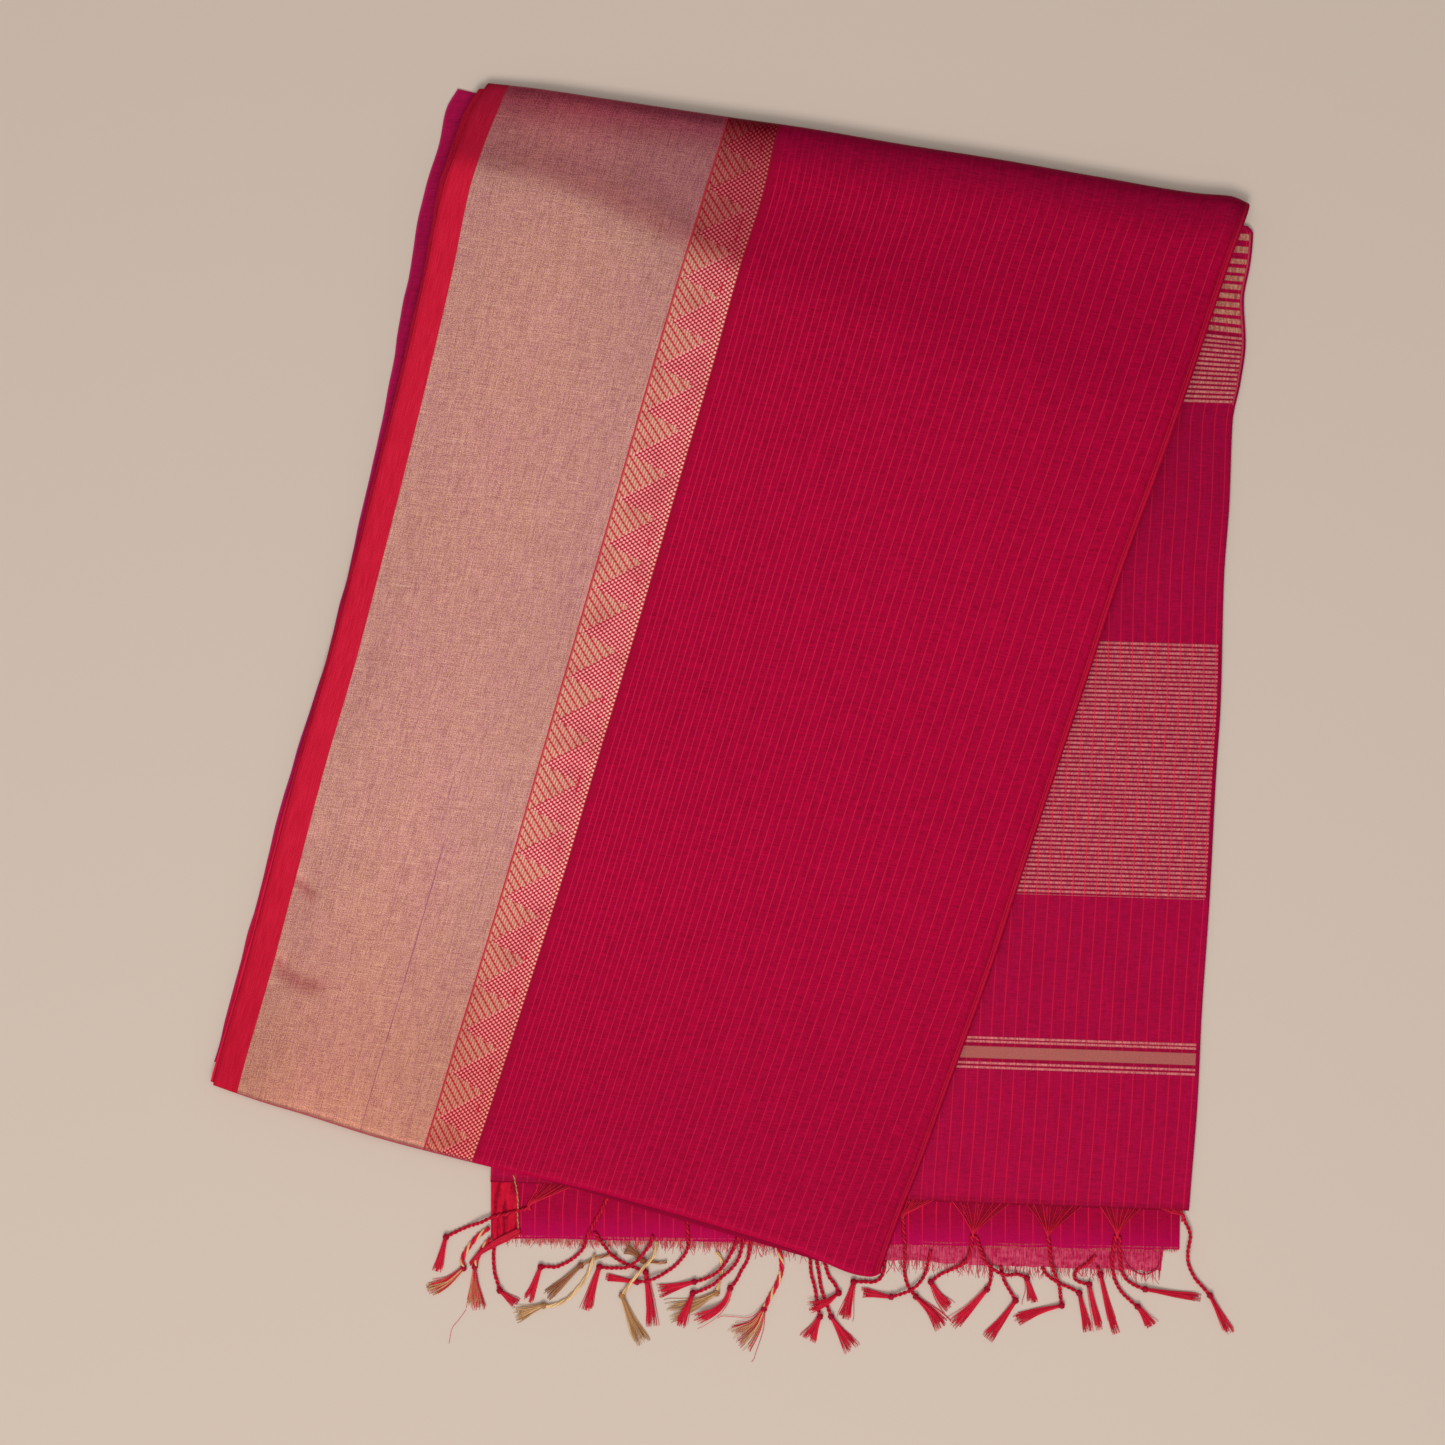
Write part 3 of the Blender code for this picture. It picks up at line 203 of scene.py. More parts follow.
# The tassels from left to right, in millimetres: the thread's tint, the brush's width, the points of the
# cord, the knot, and the points of the brush. A point that names no height lies on the floor.
TASSELS = (
    ("red", 5, ((-165, -392.6, UPPER), (-181, -397, UPPER), (-194, -400, UPPER), (-203, -404, OVER),
                (-214, -408), (-225, -413)), (-231, -416), ((-238, -444),)),
    ("mixed", 9, ((-196.4, -408.8), (-206, -416), (-214, -426), (-218, -434)),
     (-217, -441), ((-230, -452), (-246, -459))),
    ("mixed", 13, ((-195.5, -417.5), (-201, -424), (-205, -431)),
     (-208, -440), ((-207, -457), (-205, -475))),
    ("red", 6, ((-192, -417.7), (-193, -432), (-192, -445), (-190, -452)),
     (-188, -459), ((-181, -465), (-174, -470))),
    ("red", 6, ((-102, -385, UPPER), (-107, -396, UPPER), (-114, -408, UPPER), (-118, -417, UPPER),
                (-121, -425, OVER), (-130, -434), (-142, -440), (-148, -440)),
     (-155, -440), ((-161, -456), (-166, -468))),
    ("gold", 9, ((-112, -430), (-113, -434, OVER), (-115, -440, OVER), (-118, -447), (-125, -457),
                 (-134, -466), (-145, -471)), (-153, -471), ((-165, -476), (-176, -480))),
    ("tan", 7, ((-94, -430), (-102, -431), (-110, -433), (-115, -435)),
     (-123, -439), ((-137, -452), (-151, -464))),
    ("red", 6, ((-112, -412, UPPER), (-107, -419, UPPER), (-102, -425, OVER), (-98, -430, OVER),
                (-90, -436), (-81, -440)), (-71, -444), ((-68, -465), (-66, -488))),
    ("red", 6, ((-65, -415, UPPER), (-67, -421, UPPER), (-72, -428, OVER), (-78, -435, OVER),
                (-86, -440, OVER), (-94, -441), (-101, -441)), (-108, -440), ((-114, -458), (-119, -475))),
    ("gold", 10, ((-62, -419.7), (-64, -430, OVER), (-70, -437, HIGH), (-76, -444, HIGH), (-82, -451, HIGH),
                  (-86, -457, OVER)), (-90, -463), ((-82, -483), (-73, -502))),
    ("tan", 8, ((-54, -436), (-60, -437), (-66, -436)), (-73, -435), ((-81, -428), (-88, -424))),
    ("red", 5, ((-38, -401, UPPER), (-37, -417, UPPER), (-38, -427, OVER), (-46, -438), (-54, -444),
                (-62, -448, OVER), (-70, -451, OVER)), (-78, -452), ((-91, -450), (-103, -448))),
    ("red", 7, ((4, -414, UPPER), (-2, -428, OVER), (-8, -438, OVER), (-15, -445, OVER), (-24, -450)),
     (-32, -452), ((-46, -456), (-61, -460))),
    ("red", 7, ((8, -416, UPPER), (4, -432, OVER), (-2, -441, OVER), (-10, -448, OVER), (-17, -454, OVER),
                (-26, -459)), (-33, -461), ((-39, -475, OVER), (-44, -488))),
    ("red", 6, ((14, -418, UPPER), (11, -434), (6, -443), (2, -451)),
     (-3, -457), ((-7, -468), (-16, -476, OVER), (-32, -483, OVER))),
    ("gold", 12, ((-14, -428), (-10, -435), (-10, -445), (-12, -453)),
     (-14, -461), ((-32, -471), (-53, -478))),
    ("mixed", 18, ((36, -424.6, LOWER), (38, -434), (38, -444), (34, -455), (29, -464)),
     (24, -474), ((16, -488), (1, -500))),
    ("red", 10, ((65, -429.4), (68, -444), (70, -457), (74, -469)), (78, -480), ((86, -493), (95, -507))),
    ("red", 7, ((71, -430), (76, -447), (81, -454)), (84, -461), ((74, -468, OVER), (60, -473, OVER))),
    ("red", 7, ((61, -429), (62, -445), (65, -457), (67, -470)), (69, -480), ((65, -489), (60, -499))),
    ("red", 7, ((121.5, -435.3), (119, -447), (113, -452), (104, -452)),
     (96, -452), ((92, -468), (88, -482))),
    ("red", 6, ((158, -427, LOWER), (156, -435, LOWER), (154, -444), (149, -452, OVER), (142, -458, OVER),
                (135, -461, OVER)), (126, -464), ((114, -462), (102, -460))),
    ("red", 9, ((135.5, -401, UPPER), (136, -412, UPPER), (137, -423, UPPER), (137, -433, OVER),
                (137, -445), (140, -456)), (146, -464), ((158, -476), (167, -489))),
    ("red", 7, ((190.5, -414.6, UPPER), (190, -425, UPPER), (185, -436, OVER), (175, -442), (166, -446)),
     (158, -452), ((165, -464), (174, -473))),
    ("red", 6, ((194, -415, UPPER), (198, -427, UPPER), (202, -436, OVER), (210, -443, OVER),
                (219, -446, OVER), (228, -446)), (235, -449), ((238, -459), (240, -469))),
    ("red", 7, ((206, -438.9), (206, -451)), (203, -458), ((190, -473), (175, -488))),
    ("red", 7, ((214, -439.2), (217, -451), (222, -460)), (226, -467), ((215, -483), (203, -498))),
    ("red", 8, ((252, -416, UPPER), (253, -427, UPPER), (254, -436, OVER), (258, -447, OVER),
                (261, -456, OVER), (262, -463)), (263, -471), ((244, -476), (225, -483))),
    ("red", 5, ((247, -440.6), (253, -448), (263, -454), (270, -457)),
     (277, -461), ((281, -477), (285, -492))),
    ("red", 4, ((290, -431, LOWER), (284, -437, LOWER), (276, -442, LOWER), (273, -448), (277, -452)),
     (285, -454), ((289, -472), (294, -491))),
    ("red", 5, ((292, -440, LOWER),), (294, -446), ((300, -470), (307, -494))),
    ("red", 6, ((306, -415, UPPER), (304, -427, UPPER), (303, -437, LOWER), (304, -443, LOWER), (306, -451),
                (311, -460), (318, -467)), (324, -472), ((330, -480), (335, -488))),
    ("red", 5, ((309.4, -415.5, UPPER), (309, -427, UPPER), (310, -437, LOWER), (311, -443, LOWER),
                (315, -450), (322, -455)), (330, -458), ((353, -462), (375, -465))),
    ("red", 6, ((361, -401.4, UPPER), (366, -414, UPPER), (364, -427, OVER), (365, -438), (370, -449),
                (376, -456)), (382, -463), ((390, -478), (398, -494))),
)

# For each tint: its slot, the radius of a cord's plies, their distance from the cord's middle and the pitch
# of their twist, the shade of each ply, which differ to paint the light and shade of the twist, and the
# darkest and lightest shade of a brush.
TINTS = {
    "red": ("red_thread", (0.00084, 0.00080, 0.0078), (0.62, 0.30), (0.35, 1.0)),
    "tan": ("tan_thread", (0.00060, 0.00068, 0.0110), (0.62, 0.12, 0.85), (0.05, 0.75)),
    "gold": ("gold_thread", (0.00066, 0.00078, 0.0240), (0.82, 0.50, 0.98), (0.0, 0.75)),
    "mixed": ("red_and_gold_thread", (0.00096, 0.00108, 0.0150), (0.30, 0.40, 0.95), (0.35, 1.0)),
}
CORD_STEP = 0.0008
CORD_SIDES = 7

# The knots: their size, how long and how flat they are, and how far their thread's turns stand out.
KNOT_RADIUS = 0.0026
KNOT_LONG = 1.05
KNOT_FLAT = 0.86
KNOT_RELIEF = 0.11
KNOT_RINGS = 13
KNOT_SIDES = 20
KNOT_TURNS = 3
KNOT_SHADE = 0.12

# The brushes, whose threads hang in locks: where they start from the knot's middle, half their width there,
# and how much wider than the table says their outermost threads end.
LOCKS = 7
LOCK_THREADS = 9
BRUSH_RADIUS = 0.00030
BRUSH_START = 0.0014
BRUSH_ROOT = 0.0013
BRUSH_SPREAD = 1.45
BRUSH_STEP = 0.0022
BRUSH_SIDES = 5

# A loose loop of thread that hangs from the plain end's lower ply, in the photograph's pixels.
LOOP = (
    (1122, 1247), (1124, 1256), (1128, 1266), (1136, 1273), (1146, 1276), (1156, 1272), (1162, 1264),
    (1164, 1250),
)
LOOP_Z = PLAIN_LOWER_Z + WALL + 0.0012

# A stray thread below the tassel numbered here, the middle of the bundle that the plain end's red strip
# gathers into, with half its width, and the gold thread along that strip, in the same pixels.
STRAY_AT = 3
STRAY = ((465, 1312), (458, 1322), (451, 1331), (448, 1346))
GATHERED = ((520, 1232), (508, 1238), (494, 1245), (480, 1254), (469, 1266))
GATHERED_HALF = (2.8, 3.4, 3.0, 2.0, 1.6)
GATHERED_THREADS = 26
GATHERED_RADIUS = 0.00034
GOLD_LINE = ((513, 1176), (516, 1190), (517.5, 1204), (517, 1218), (519, 1238))
GOLD_LINE_Z = UPPER - 0.0004

# The gold thread's and the loop's plies: their radius, distance from the thread's middle, pitch and shades.
GOLD_LINE_PLIES = (0.00034, 0.00034, 0.0060, (0.80, 0.56))
LOOP_PLIES = (0.00042, 0.00042, 0.0065, (0.3, 0.0))

# The camera looks straight down on the photograph's middle. The view is as wide as the photograph at the
# height of the plane.
CAMERA_X = (722.5 - ORIGIN_X) * PIXEL + SHIFT[0]
CAMERA_Y = (ORIGIN_Y - 722.5) * PIXEL + SHIFT[1]
CAMERA_HEIGHT = 2.5
PLANE_Z = 0.010
VIEW_WIDTH = 1445 * PIXEL
SENSOR = 36.0


# Curves through tables.

class Curve:
    """A smooth curve through a table's rows, which never overshoots them and is level beyond its ends."""

    def __init__(self, rows):
        rows = np.array(rows, dtype=float)
        if rows[0, 0] > rows[-1, 0]:
            rows = rows[::-1]
        self.at = rows[:, 0]
        self.value = rows[:, 1]
        rise = np.diff(self.value) / np.diff(self.at)
        before = rise[:-1]
        after = rise[1:]
        same = before * after > 0
        total = np.where(same, before + after, 1.0)
        inner = np.where(same, 2 * before * after / total, 0.0)
        self.slope = np.concatenate(([rise[0]], inner, [rise[-1]]))

    def __call__(self, x):
        x = np.clip(x, self.at[0], self.at[-1])
        i = np.clip(np.searchsorted(self.at, x, side="right") - 1, 0, len(self.at) - 2)
        width = self.at[i + 1] - self.at[i]
        t = (x - self.at[i]) / width
        start = (1 + 2 * t) * (1 - t) ** 2 * self.value[i] + t * (1 - t) ** 2 * width * self.slope[i]
        end = t * t * (3 - 2 * t) * self.value[i + 1] + t * t * (t - 1) * width * self.slope[i + 1]
        return start + end


LINE_CURVES = [Curve([(row[0], row[i]) for row in WOVEN_LINES]) for i in range(1, 6)]
TOP_CURVE = Curve(TOP_EDGE)
FRONT_CURVE = Curve(FRONT_EDGE)
CROWN_CURVE = Curve(CROWN)
CREST_CURVE = Curve(CREST)
DROP_CURVE = Curve(FRONT_DROP)
PROUD_CURVE = Curve(RED_PROUD)
PALLU_RIGHT_CURVE = Curve([(y, x) for x, y in PALLU_RIGHT])


def smooth(value):
    """A soft step: 0 below 0 and 1 above 1."""
    value = np.clip(value, 0.0, 1.0)
    return value * value * (3 - 2 * value)


def stretches(rows):
    """Evenly spaced values over stretches that follow on one another, each (start, end, count)."""
    return np.concatenate([np.linspace(start, end, count)[0 if i == 0 else 1:]
                           for i, (start, end, count) in enumerate(rows)])


def line_x(across, y):
    """The x of the panel's threads that run `across` from the selvedge, at heights y in the plan."""
    across, y = np.broadcast_arrays(np.asarray(across, dtype=float), np.asarray(y, dtype=float))
    xs = np.stack([curve(y) for curve in LINE_CURVES])
    i = np.clip(np.searchsorted(ACROSS, across, side="right") - 1, 0, 3)
    start = np.take(ACROSS, i)
    share = (across - start) / (np.take(ACROSS, i + 1) - start)
    low = np.take_along_axis(xs, i[None], axis=0)[0]
    high = np.take_along_axis(xs, i[None] + 1, axis=0)[0]
    return low + share * (high - low)


def thread_ends(across):
    """Where lengthwise threads of the panel meet the far fold and the front fold, and their length."""
    ends = []
    for curve in (TOP_CURVE, FRONT_CURVE):
        y = np.zeros(np.shape(across))
        for _ in range(14):
            y = curve(line_x(across, y))
        ends.append(y)
    far, front = ends
    return far, front, np.hypot(far - front, line_x(across, far) - line_x(across, front))


def plan(across, from_far):
    """The places of points of the panel: across from the selvedge, along from the far fold."""
    far, front, run = thread_ends(across)
    y = far + (front - far) * from_far / run
    return line_x(across, y), y


def ply_left(y):
    """The x of the plies' hidden left edge."""
    share = (y - PLY_LEFT_FRONT[1]) / (PLY_LEFT_FAR[1] - PLY_LEFT_FRONT[1])
    return PLY_LEFT_FRONT[0] + share * (PLY_LEFT_FAR[0] - PLY_LEFT_FRONT[0])


def pile_base(x, y):
    """The height of the pile's underside: on the plies at the right, near the floor at the left."""
    inside = (x - ply_left(y) + STEP_LOW) / (STEP_LOW - STEP_HIGH)
    return PILE_ON_FLOOR_Z + (PILE_ON_PLIES_Z - PILE_ON_FLOOR_Z) * smooth(inside)


def far_fold(across, from_far):
    """What the thick far fold adds to the pile's height."""
    crest = CREST_CURVE(across)
    right = np.clip(across / HALF_WIDTH, 0.0, 1.0)
    beyond = crest - from_far
    soft = CREST_SOFT[0] + CREST_SOFT[1] * right
    beyond_soft = soft * np.logaddexp(0.0, beyond / soft)
    reach = STEEP_REACH[0] + STEEP_REACH[1] * right
    fall = CREST_FALL + (CREST_FALL_RIGHT - CREST_FALL) * right
    steep = (1 - np.exp(-beyond_soft / reach)) / (1 - np.exp(-crest / reach))
    drop = fall * (STEEP_SHARE * steep + (1 - STEEP_SHARE) * beyond_soft / crest)
    return CREST_HEIGHT * (1 - smooth(-beyond / CREST_REACH)) - drop


def pile_top(across, from_far):
    """The height of the pile's top, without its small waves."""
    run = thread_ends(across)[2]
    return (CROWN_CURVE(across) + far_fold(across, from_far) + DROP_CURVE(run - from_far)
            + PILE_ON_PLIES_Z - LAYER)


# Meshes.

class Piece:
    """The points, faces and maps of one visible piece."""

    def __init__(self, name):
        self.name = name
        self.points = []
        self.faces = []
        self.maps = {"weave": []}

    def ring(self, points, weave):
        """Add points with their places in the weave, and return their numbers."""
        start = len(self.points)
        self.points.extend(tuple(float(value) for value in point) for point in points)
        self.maps["weave"].extend((float(u), float(v)) for u, v in weave)
        return list(range(start, len(self.points)))

    def bridge(self, ring_a, ring_b):
        """Faces from one closed ring of points to the next."""
        for i in range(len(ring_a)):
            j = (i + 1) % len(ring_a)
            self.faces.append((ring_a[i], ring_a[j], ring_b[j], ring_b[i]))

    def skin(self, rings):
        """Close a chain of rings into one form, with a face over each end."""
        self.faces.append(tuple(rings[0]))
        for here, there in zip(rings, rings[1:]):
            self.bridge(here, there)
        self.faces.append(tuple(rings[-1][::-1]))

    def build(self, material, nodes, sharp=None):
        """Make the object with its material, riding on the root body, and hide the nodes it replaces."""
        mesh = bpy.data.meshes.new(self.name)
        mesh.from_pydata([tuple(np.array(point) + SHIFT) for point in self.points], [], self.faces)
        corners = np.empty(len(mesh.loops), dtype=np.int32)
        mesh.loops.foreach_get("vertex_index", corners)
        for name, values in self.maps.items():
            layer = mesh.uv_layers.new(name=name)
            layer.data.foreach_set("uv", np.array(values, dtype=np.float32)[corners].ravel())
        work = bmesh.new()
        work.from_mesh(mesh)
        bmesh.ops.recalc_face_normals(work, faces=work.faces)
        work.to_mesh(mesh)
        work.free()
        mesh.polygons.foreach_set("use_smooth", [True] * len(mesh.polygons))
        if sharp is not None:
            mesh.set_sharp_from_angle(angle=math.radians(sharp))
        mesh.materials.append(material)
        piece = bpy.data.objects.new(self.name, mesh)
        bpy.context.scene.collection.objects.link(piece)
        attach(piece, "root")
        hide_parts(*nodes)
        return piece


def grid_normals(grid):
    """Unit normals of a grid of points, from its neighbours."""
    along = np.gradient(grid, axis=1)
    over = np.gradient(grid, axis=0)
    normal = np.cross(over, along)
    length = np.linalg.norm(normal, axis=2, keepdims=True)
    return normal / np.maximum(length, 1e-12)


# A cloth's shown side takes most of its own square map, and its other side the rest.
BAKE_MARGIN = 0.002
BAKE_START = (BAKE_MARGIN, 0.902)
BAKE_WIDTH = (0.896, 0.096)


def cloth(name, outer, weave, material, nodes, inner=None, maps=None):
    """A thin closed shell: its shown side is a grid of points, its other side lies under it.

    The weave map holds how far across and along the cloth a point lies, and each further map two more
    distances.
    """
    outer = np.asarray(outer, dtype=float)
    weave = np.asarray(weave, dtype=float)
    if inner is None:
        normal = grid_normals(outer)
        if normal[:, :, 2].mean() < 0:
            normal = -normal
        inner = outer - normal * CLOTH
    columns, rows = outer.shape[:2]
    piece = Piece(name)
    for map_name, values in (maps or {}).items():
        piece.maps[map_name] = np.tile(np.asarray(values, dtype=float).reshape(-1, 2), (2, 1))
    u, v = np.meshgrid(np.linspace(0, 1, columns), np.linspace(0, 1, rows), indexing="ij")
    v = BAKE_MARGIN + (1 - 2 * BAKE_MARGIN) * v
    bake = []
    for grid, start, width in zip((outer, inner), BAKE_START, BAKE_WIDTH):
        piece.ring(grid.reshape(-1, 3), weave.reshape(-1, 2))
        bake.append(np.stack((start + width * u, v), axis=2).reshape(-1, 2))
    piece.maps["OFBake"] = np.concatenate(bake)
    start = columns * rows
    i, j = np.meshgrid(np.arange(columns - 1), np.arange(rows - 1), indexing="ij")
    corner = (i * rows + j).ravel()
    quads = np.stack((corner, corner + rows, corner + rows + 1, corner + 1), axis=1)
    piece.faces = [tuple(quad) for quad in quads.tolist()]
    piece.faces += [tuple(quad) for quad in (quads[:, ::-1] + start).tolist()]
    border = [(i, 0) for i in range(columns)] + [(columns - 1, j) for j in range(1, rows)]
    border += [(i, rows - 1) for i in range(columns - 2, -1, -1)] + [(0, j) for j in range(rows - 2, 0, -1)]
    ids = [i * rows + j for i, j in border]
    for a, b in zip(ids, ids[1:] + ids[:1]):
        piece.faces.append((a, a + start, b + start, b))
    return piece.build(material, nodes, sharp=60)


LATTICES = {}
LATTICE_SIZE = 257
LATTICE_START = (64.37, 71.91)


def value_noise(x, y, scale, seed):
    """Smooth noise from -1 to 1 over a plane, from a seeded lattice."""
    if seed not in LATTICES:
        LATTICES[seed] = np.random.default_rng(seed).uniform(-1, 1, (LATTICE_SIZE, LATTICE_SIZE))
    lattice = LATTICES[seed]
    px = np.asarray(x) / scale + LATTICE_START[0]
    py = np.asarray(y) / scale + LATTICE_START[1]
    ix = np.floor(px).astype(int)
    iy = np.floor(py).astype(int)
    fx = smooth(px - ix)
    fy = smooth(py - iy)
    a, b, c, d = (lattice[(ix + i) % LATTICE_SIZE, (iy + j) % LATTICE_SIZE]
                  for i, j in ((0, 0), (1, 0), (0, 1), (1, 1)))
    return (a * (1 - fx) + b * fx) * (1 - fy) + (c * (1 - fx) + d * fx) * fy


def spline(points, step):
    """Points along a smooth curve through the given ones, about `step` apart."""
    points = [np.array(point, dtype=float) for point in points]
    padded = [2 * points[0] - points[1]] + points + [2 * points[-1] - points[-2]]
    line = []
    for a, b, c, d in zip(padded, padded[1:], padded[2:], padded[3:]):
        count = max(1, int(round(float(np.linalg.norm(c - b)) / step)))
        for i in range(count):
            t = i / count
            line.append(0.5 * (2 * b + (c - a) * t + (2 * a - 5 * b + 4 * c - d) * t * t
                               + (3 * b - a - 3 * c + d) * t ** 3))
    line.append(points[-1])
    return np.array(line)


def frames(line):
    """Directions ahead, sideways and up along a line that lies about level."""
    ahead = np.gradient(line, axis=0)
    ahead /= np.maximum(np.linalg.norm(ahead, axis=1, keepdims=True), 1e-9)
    side = np.stack((ahead[:, 1], -ahead[:, 0], np.zeros(len(line))), axis=1)
    flat = np.linalg.norm(side, axis=1) < 0.05
    side[flat] = (1.0, 0.0, 0.0)
    side /= np.linalg.norm(side, axis=1, keepdims=True)
    return ahead, side, np.cross(side, ahead)


def lengths_along(line):
    """How far along a line each of its points lies."""
    return np.concatenate(([0.0], np.cumsum(np.linalg.norm(np.diff(line, axis=0), axis=1))))


def tube(piece, thread, sides):
    """A closed round tube along a thread: its points, its radius at the root and at the tip, and its shade.

    The shade is kept in the map's u.
    """
    line, root, tip, shade = thread
    line = np.array(line)
    radii = np.linspace(root, tip, len(line))
    _, side, up = frames(line)
    angles = 2 * math.pi * np.arange(sides) / sides
    rings = []
    for centre, radius, side_way, up_way, length in zip(line, radii, side, up, lengths_along(line)):
        points = centre + radius * (np.outer(np.cos(angles), side_way) + np.outer(np.sin(angles), up_way))
        rings.append(piece.ring(points, [(shade, length)] * sides))
    piece.skin(rings)


# Materials.

def srgb(red, green, blue):
    """A colour given as the eye sees it, from 0 to 255, as the shader's linear one."""
    linear = []
    for value in (red, green, blue):
        value = value / 255
        linear.append(value / 12.92 if value <= 0.04045 else ((value + 0.055) / 1.055) ** 2.4)
    return (*linear, 1.0)


def operation(name, flip=False):
    """A method that runs a wire, and what else it is given, through a math node."""
    def run(wire, *others):
        values = (wire, *others)
        return wire.graph.math(name, *(values[::-1] if flip else values))
    return run


class Wire:
    """A value that runs between nodes, which can be summed and compared in plain formulas."""

    def __init__(self, graph, socket):
        self.graph = graph
        self.socket = socket

    __add__ = operation("ADD")
    __sub__ = operation("SUBTRACT")
    __rsub__ = operation("SUBTRACT", flip=True)
    __mul__ = operation("MULTIPLY")
    __truediv__ = operation("DIVIDE")
    fract = operation("FRACT")
    floor = operation("FLOOR")
    abs = operation("ABSOLUTE")
    sin = operation("SINE")
    above = operation("GREATER_THAN")
    either = operation("MAXIMUM")

    def log(self):
        return self.graph.math("LOGARITHM", self, math.e)


def total(wires):
    return functools.reduce(Wire.__add__, wires)


def highest(wires):
    return functools.reduce(Wire.either, wires)


def centred(phase, pitch):
    """How far a place lies from its repeat's middle; `phase` counts the repeats, `pitch` is their length."""
    return (phase.fract() - 0.5) * pitch


class Graph:
    """A material's node tree, written as formulas."""

    def __init__(self, name, roughness=0.6, sheen=0.0, specular=0.03, metallic=0.0):
        self.material = bpy.data.materials.new(name)
        self.material.use_nodes = True
        self.tree = self.material.node_tree
        self.shader = self.tree.nodes["Principled BSDF"]
        for socket, value in (("Roughness", roughness), ("Specular IOR Level", specular),
                              ("Sheen Weight", sheen), ("Sheen Roughness", 0.4), ("Sheen Tint", SHEEN_TINT),
                              ("Metallic", metallic)):
            self.put(self.shader.inputs[socket], value)
        self.across, self.along = self.read_map("weave")

    def put(self, socket, value):
        """Link a wire to a socket, or set its number or colour."""
        if isinstance(value, Wire):
            self.tree.links.new(value.socket, socket)
        elif isinstance(value, tuple):
            socket.default_value = (*value, 1.0)[:4]
        else:
            socket.default_value = value

    def node(self, kind, inputs=None, **settings):
        """A new node with its settings, and with wires, numbers or colours put into its sockets."""
        node = self.tree.nodes.new(kind)
        for name, value in settings.items():
            setattr(node, name, value)
        for socket, value in (inputs or {}).items():
            self.put(node.inputs[socket], value)
        return node

    def read_map(self, name):
        """The two distances that a map holds, in millimetres."""
        uv = self.node("ShaderNodeUVMap", uv_map=name)
        split = self.node("ShaderNodeSeparateXYZ", {"Vector": Wire(self, uv.outputs["UV"])})
        return Wire(self, split.outputs["X"]) * 1000.0, Wire(self, split.outputs["Y"]) * 1000.0

    def math(self, operation_name, *values):
        """The result of a math node."""
        node = self.node("ShaderNodeMath", dict(enumerate(values)), operation=operation_name)
        return Wire(self, node.outputs["Value"])

    def step(self, value, start, end):
        """0 below start, 1 above end, smooth between."""
        node = self.node("ShaderNodeMapRange", {"Value": value, "From Min": start, "From Max": end},
                         interpolation_type="SMOOTHSTEP")
        return Wire(self, node.outputs["Result"])

    def fall(self, value, start, end):
        """1 below start, 0 above end, smooth between."""
        return 1.0 - self.step(value, start, end)

    def line(self, distance, half, soft):
        """1 within `half` of zero, with soft sides."""
        return self.fall(distance.abs(), half - soft / 2, half + soft / 2)

    def between(self, value, start, end, soft):
        """1 from start to end, with soft sides."""
        half = soft / 2
        return self.step(value, start - half, start + half) * self.fall(value, end - half, end + half)

    def mix(self, share, first, second, blend="MIX"):
        """The first colour, and the second over it as far as `share` says."""
        node = self.node("ShaderNodeMix", {"Factor": share}, data_type="RGBA", blend_type=blend)
        self.put(node.inputs[6], first)
        self.put(node.inputs[7], second)
        return Wire(self, node.outputs[2])

    def tint(self, share, colour, factors):
        """The colour times `factors` as far as `share` says."""
        return self.mix(share, colour, factors, "MULTIPLY")

    def noise_at(self, place, scale, detail, roughness=0.5):
        """Noise from 0 to 1 at a place that a node puts out."""
        node = self.node("ShaderNodeTexNoise", {"Scale": scale, "Detail": detail, "Roughness": roughness,
                                                "Vector": Wire(self, place)})
        return Wire(self, node.outputs["Fac"])

    def noise(self, across_scale, along_scale, detail, roughness, offset):
        """Noise from 0 to 1, with its own number of lumps per millimetre across and along."""
        place = {"X": self.across * across_scale, "Y": self.along * along_scale, "Z": offset}
        join = self.node("ShaderNodeCombineXYZ", place)
        return self.noise_at(join.outputs["Vector"], 1.0, detail, roughness)

    def grain(self, layers, seed=0.0):
        """Noises added up: each layer has its weight, and then what `noise` takes."""
        return total([self.noise(*settings, seed + offset) * weight for weight, *settings, offset in layers])

    def mottled(self, layers, low, high, dark, light, seed=0.0):
        """Two tones that noises choose between, dark below `low` and light above `high`."""
        return self.mix(self.step(self.grain(layers, seed), low, high), dark, light)

    def solid_noise(self, scale, detail=2.0):
        """Noise in the piece's own space, with lumps per metre."""
        return self.noise_at(self.node("ShaderNodeTexCoord").outputs["Object"], scale, detail)

    def finish(self, colour, height, strength=0.3, distance=0.00025, **sockets):
        """Put the colour, a bumped height and what else is given into the shader."""
        bump = self.node("ShaderNodeBump", {"Strength": strength, "Distance": distance, "Height": height})
        sockets.update({"Base Color": colour, "Normal": Wire(self, bump.outputs["Normal"])})
        for socket, value in sockets.items():
            self.put(self.shader.inputs[socket], value)
        return self.material


BODY_LIGHT = srgb(178, 3, 56)
BODY_DARK = srgb(136, 2, 41)
WARP_RED = srgb(198, 32, 66)
THREAD_DARK = srgb(146, 0, 34)
THREAD_LIGHT = srgb(236, 34, 64)
SHEEN_TINT = srgb(225, 40, 90)
SILK_METAL = 0.30

